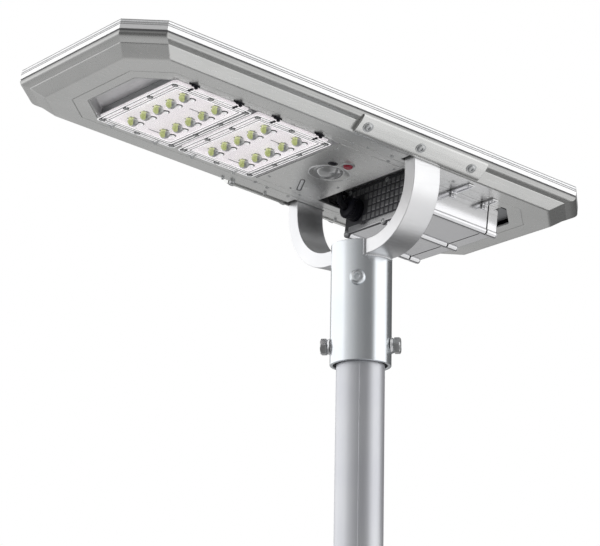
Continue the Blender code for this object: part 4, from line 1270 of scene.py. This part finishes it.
def build_battery():
    low, high = BOX_S
    start = ((low, 0.5), (low + 0.15, 0.15), (low + 0.5, 0.0))
    shell = box_slice((*start, (high - 0.5, 0.0), (high - 0.15, 0.15), (high, 0.5)))
    inside = block((low - 5, -77, -50.9), (high + 5, 77, 2), 2.0, 2)
    piece("box_shell", carved(shell, [inside]), BOX_METAL, ["battery_shell"])
    low, high = CAP_S
    start = ((low, 0.6), (low + 0.2, 0.2), (low + 0.6, 0.0))
    cap = box_slice((*start, (high - 2.0, 0.0), (high - 0.9, 0.4), (high - 0.3, 1.0), (high, 2.0)))
    piece("box_cap", cap, CAP_METAL, ["battery_end_cap"])
    low, high = END_S
    plate = box_slice(((low, 0.4), (low + 0.1, 0.1), (low + 0.4, 0.0), (high, 0.0)))
    hole = turned(((0, 10), (8, 10), (8, -10), (0, -10)), 32)
    hole = moved(hole, facing((41, *CONNECTOR_AT), (1, 0, 0)))
    piece("end_plate_body", carved(plate, [hole]), PLATE_DARK, ["battery_end_plate"])

    pads = []
    square = ((-1, -1), (1, -1), (1, 1), (-1, 1))
    for w in PAD_ROWS_W:
        for k in range(16):
            v = -68.0 + k * PAD_PITCH_V
            if math.hypot(v - CONNECTOR_AT[0], w - CONNECTOR_AT[1]) > CONNECTOR_CLEAR:
                loops = []
                for s, half_v, half_w in ((40.2, 3.6, 4.0), (38.9, 2.7, 3.1)):
                    loops.append([(s, v + a * half_v, w + b * half_w) for a, b in square])
                pads.append(bevelled(loft(loops), 0.6, 2))
    piece("end_plate_pads", joined(pads), PLATE_PAD)
    strip = block((38.8, -71.0, -56.2), (40.2, 71.0, -47.6), 0.6, 3)
    piece("end_plate_strip", strip, BOX_METAL)

    screws = []
    wells = []
    well = ((3.4, 0.6), (4.3, 0.6), (4.6, 0.2), (4.6, -0.3), (3.4, -0.3))
    for v in RIB_V:
        for s, way in ((END_S[0], -1), (CAP_S[1], 1)):
            screws.append(pan_screw(3.2, 1.6, (s + way * 0.1, v, RIB_W), (way, 0, 0), v))
            wells.append(moved(turned(well, 24), facing((s, v, RIB_W), (way, 0, 0))))
            screws.append(pan_screw(3.4, 1.8, (s + way * 0.1, v, 0.5), (way, 0, 0), v + 1))
    piece("box_end_screws", joined(screws), STEEL)
    piece("box_end_wells", joined(wells), CAP_METAL)

    plug = (
        (0.0, 47.5), (7.6, 47.5), (7.6, 39.6), (14.6, 39.6), (15.0, 39.0), (15.0, 34.6, "rib"),
        (14.6, 34.0), (13.2, 33.4), (13.2, 28.2), (14.0, 27.8), (14.6, 27.2, "rib"),
        (14.6, 23.4, "rib"), (13.6, 22.6), (12.0, 21.4), (8.0, 20.8), (5.0, 21.4), (5.0, 36.0),
        (0.0, 36.0),
    )
    bm = moved(turned(plug, 96, 24, 0.9), facing((0, *CONNECTOR_AT), (1, 0, 0)))
    piece("connector_plug", bm, BLACK, ["battery_connector"])
    stops = (
        (34, 58, -28), (20, 58, -27.6), (12, 57.2, -24), (8.4, 55.6, -15), (6, 55, -8),
        (0, 55, -4.4), (-6, 55, -3.6), (-13.4, 55, -3.4),
    )
    lead = tube(smooth_path(stops, 6), 4.2, 16)
    piece("connector_lead", lead, RUBBER, ["battery_lead"])

    for label, side, s, reach in BRACKETS:
        build_bracket(label, side, s, reach)

    liner = block((CAP_S[1] + 2.0, -70.0, -13.2), (OPENING[1] - 1.0, 70.0, -12.2), 0.3, 2)
    piece("bay_liner", liner, INNER_METAL)
    trims = []
    for side in (-1, 1):
        near, far = sorted((side * (BOX_HALF_V + 0.3), side * (OPENING[2] - 0.3)))
        trims.append(block((51.0, near, BOTTOM + 0.2), (CAP_S[1] - 1.0, far, BOTTOM + 1.8), 0.3, 2))
    piece("bay_trims", joined(trims), PAN_METAL)


# ---------------------------------------------------------------- carried-over CAD nodes
NODE_LOOKS = (
    (BLACK, ("junction_box", "button_switch", "charge_controller")),
    (RUBBER, ("panel_lead", "battery_gasket_left", "battery_gasket_right")),
    (GREEN, ("sensor_board", "battery_board")),
    (WRAP, ("battery_pack",)),
    (STEEL, ("pivot_bolt_near", "pivot_bolt_far", "pivot_nut_near", "pivot_nut_far")),
    (INNER_METAL, ("led_heat_sink_left", "led_heat_sink_right", "led_driver")),
    (INNER_METAL, ("pivot_block_near", "pivot_block_far")),
)


def dress_nodes(nodes):
    for look, names in NODE_LOOKS:
        for name in names:
            nodes[name].data.materials.clear()
            nodes[name].data.materials.append(look)


# ---------------------------------------------------------------- studio
# Brightness of the sky round the lamp: degrees from the camera's side towards its right, value
AROUND = (
    (-180, 0.26), (-170, 0.26), (-156, 0.40), (-146, 1.30), (-70, 1.30), (-60, 0.90), (-44, 0.66),
    (-12, 0.34), (16, 0.22), (38, 0.19), (48, 0.45), (56, 1.35), (106, 1.35), (116, 0.10),
    (168, 0.08), (180, 0.26),
)
# The same, well below the horizon
AROUND_LOW = (
    (-180, 0.46), (-172, 0.52), (-160, 0.50), (-132, 0.36), (-116, 0.42), (-100, 0.36), (-84, 0.18),
    (-40, 0.12), (-10, 0.15), (10, 0.40), (40, 0.55), (60, 0.80), (84, 0.90), (114, 0.85),
    (124, 0.14), (162, 0.10), (172, 0.24), (180, 0.46),
)
TOP_LIGHT = 0.85
LOW_LIGHT = 0.30
# Heights in degrees where the sky turns to the top light, to the lower ring and to the low light
SKY_TOP = (55, 75)
SKY_LOW = (-20, -6)
SKY_DOWN = (-89, -82)
BACKGROUND = 1.0
FLOOR_Z = -5.0
FLOOR_R = 1.0


def add_curve(tree, share, stops):
    """Value that follows straight lines between stops of (degrees, value)."""
    curve = add_node(tree, "FloatCurve", {"Value": share})
    points = curve.mapping.curves[0].points
    top = max(value for _, value in stops)
    points[0].location = (0.0, stops[0][1] / top)
    points[1].location = (1.0, stops[-1][1] / top)
    for degrees, value in stops[1:-1]:
        points.new((degrees + 180) / 360, value / top)
    for point in points:
        point.handle_type = "VECTOR"
    curve.mapping.update()
    return add_math(tree, "MULTIPLY", curve.outputs["Value"], top)


def build_world():
    """Studio of soft boxes: two rings of brightness round the lamp, and an even top and bottom."""
    world = bpy.data.worlds.new("studio")
    world.use_nodes = True
    bpy.context.scene.world = world
    tree = world.node_tree
    coords = add_node(tree, "TexCoord").outputs["Generated"]
    parts = add_node(tree, "SeparateXYZ", {"Vector": coords})
    azimuth = add_math(tree, "ARCTAN2", parts.outputs["Y"], parts.outputs["X"])
    turned_by = add_math(tree, "SUBTRACT", azimuth, CAMERA_AZIMUTH)
    wrapped = add_math(tree, "WRAP", turned_by, math.pi, -math.pi)
    share = add_math(tree, "MULTIPLY_ADD", wrapped, 0.5 / math.pi, 0.5)
    horizon = add_curve(tree, share, AROUND)
    lower = add_curve(tree, share, AROUND_LOW)
    height = add_math(tree, "ARCSINE", parts.outputs["Z"])
    up = add_range(tree, height, 0.0, 1.0, *[math.radians(angle) for angle in SKY_TOP])
    low = add_range(tree, height, 1.0, 0.0, *[math.radians(angle) for angle in SKY_LOW])
    down = add_range(tree, height, 1.0, 0.0, *[math.radians(angle) for angle in SKY_DOWN])
    value = add_mix(tree, up, horizon, TOP_LIGHT)
    value = add_mix(tree, low, value, lower)
    value = add_mix(tree, down, value, LOW_LIGHT)
    paths = add_node(tree, "LightPath")
    value = add_mix(tree, paths.outputs["Is Camera Ray"], value, BACKGROUND)
    background = tree.nodes["Background"]
    background.inputs["Color"].default_value = (1, 1, 1, 1)
    tree.links.new(value, background.inputs["Strength"])


def build_stage():
    floor = turned(((0, 0), (FLOOR_R, 0), (FLOOR_R, -0.05), (0, -0.05)), 96)
    mesh = bpy.data.meshes.new("floor")
    floor.to_mesh(mesh)
    floor.free()
    look = surface("floor", ((0.72, 0.72, 0.73), (0.76, 0.76, 0.76)), (0.7, 0.8), patches=0.4)
    mesh.materials.append(look)
    obj = bpy.data.objects.new("floor", mesh)
    obj.location = (0, 0, FLOOR_Z)
    bpy.context.scene.collection.objects.link(obj)
    obj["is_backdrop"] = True


def build_camera():
    data = bpy.data.cameras.new("camera")
    data.lens = CAMERA_LENS
    data.sensor_width = CAMERA_SENSOR
    data.shift_x = CAMERA_SHIFT_X
    data.clip_end = CAMERA_CLIP
    camera = bpy.data.objects.new("camera", data)
    camera.location = CAMERA_AT
    camera.rotation_euler = [math.radians(angle) for angle in CAMERA_TURN]
    bpy.context.scene.collection.objects.link(camera)
    bpy.context.scene.camera = camera


def corners(box):
    return [list(corner) for corner in box]


def main():
    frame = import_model()
    cad_box = corners(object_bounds())
    dress_nodes(frame["nodes"])
    build_pole()
    build_yoke()
    build_sleeve()
    build_pan()
    build_covers()
    build_panel()
    build_tray()
    build_modules()
    build_sensor()
    build_battery()
    build_world()
    build_stage()
    build_camera()
    bpy.context.scene.view_settings.view_transform = "Standard"
    {"cad": cad_box, "visual": corners(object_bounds())}


main()
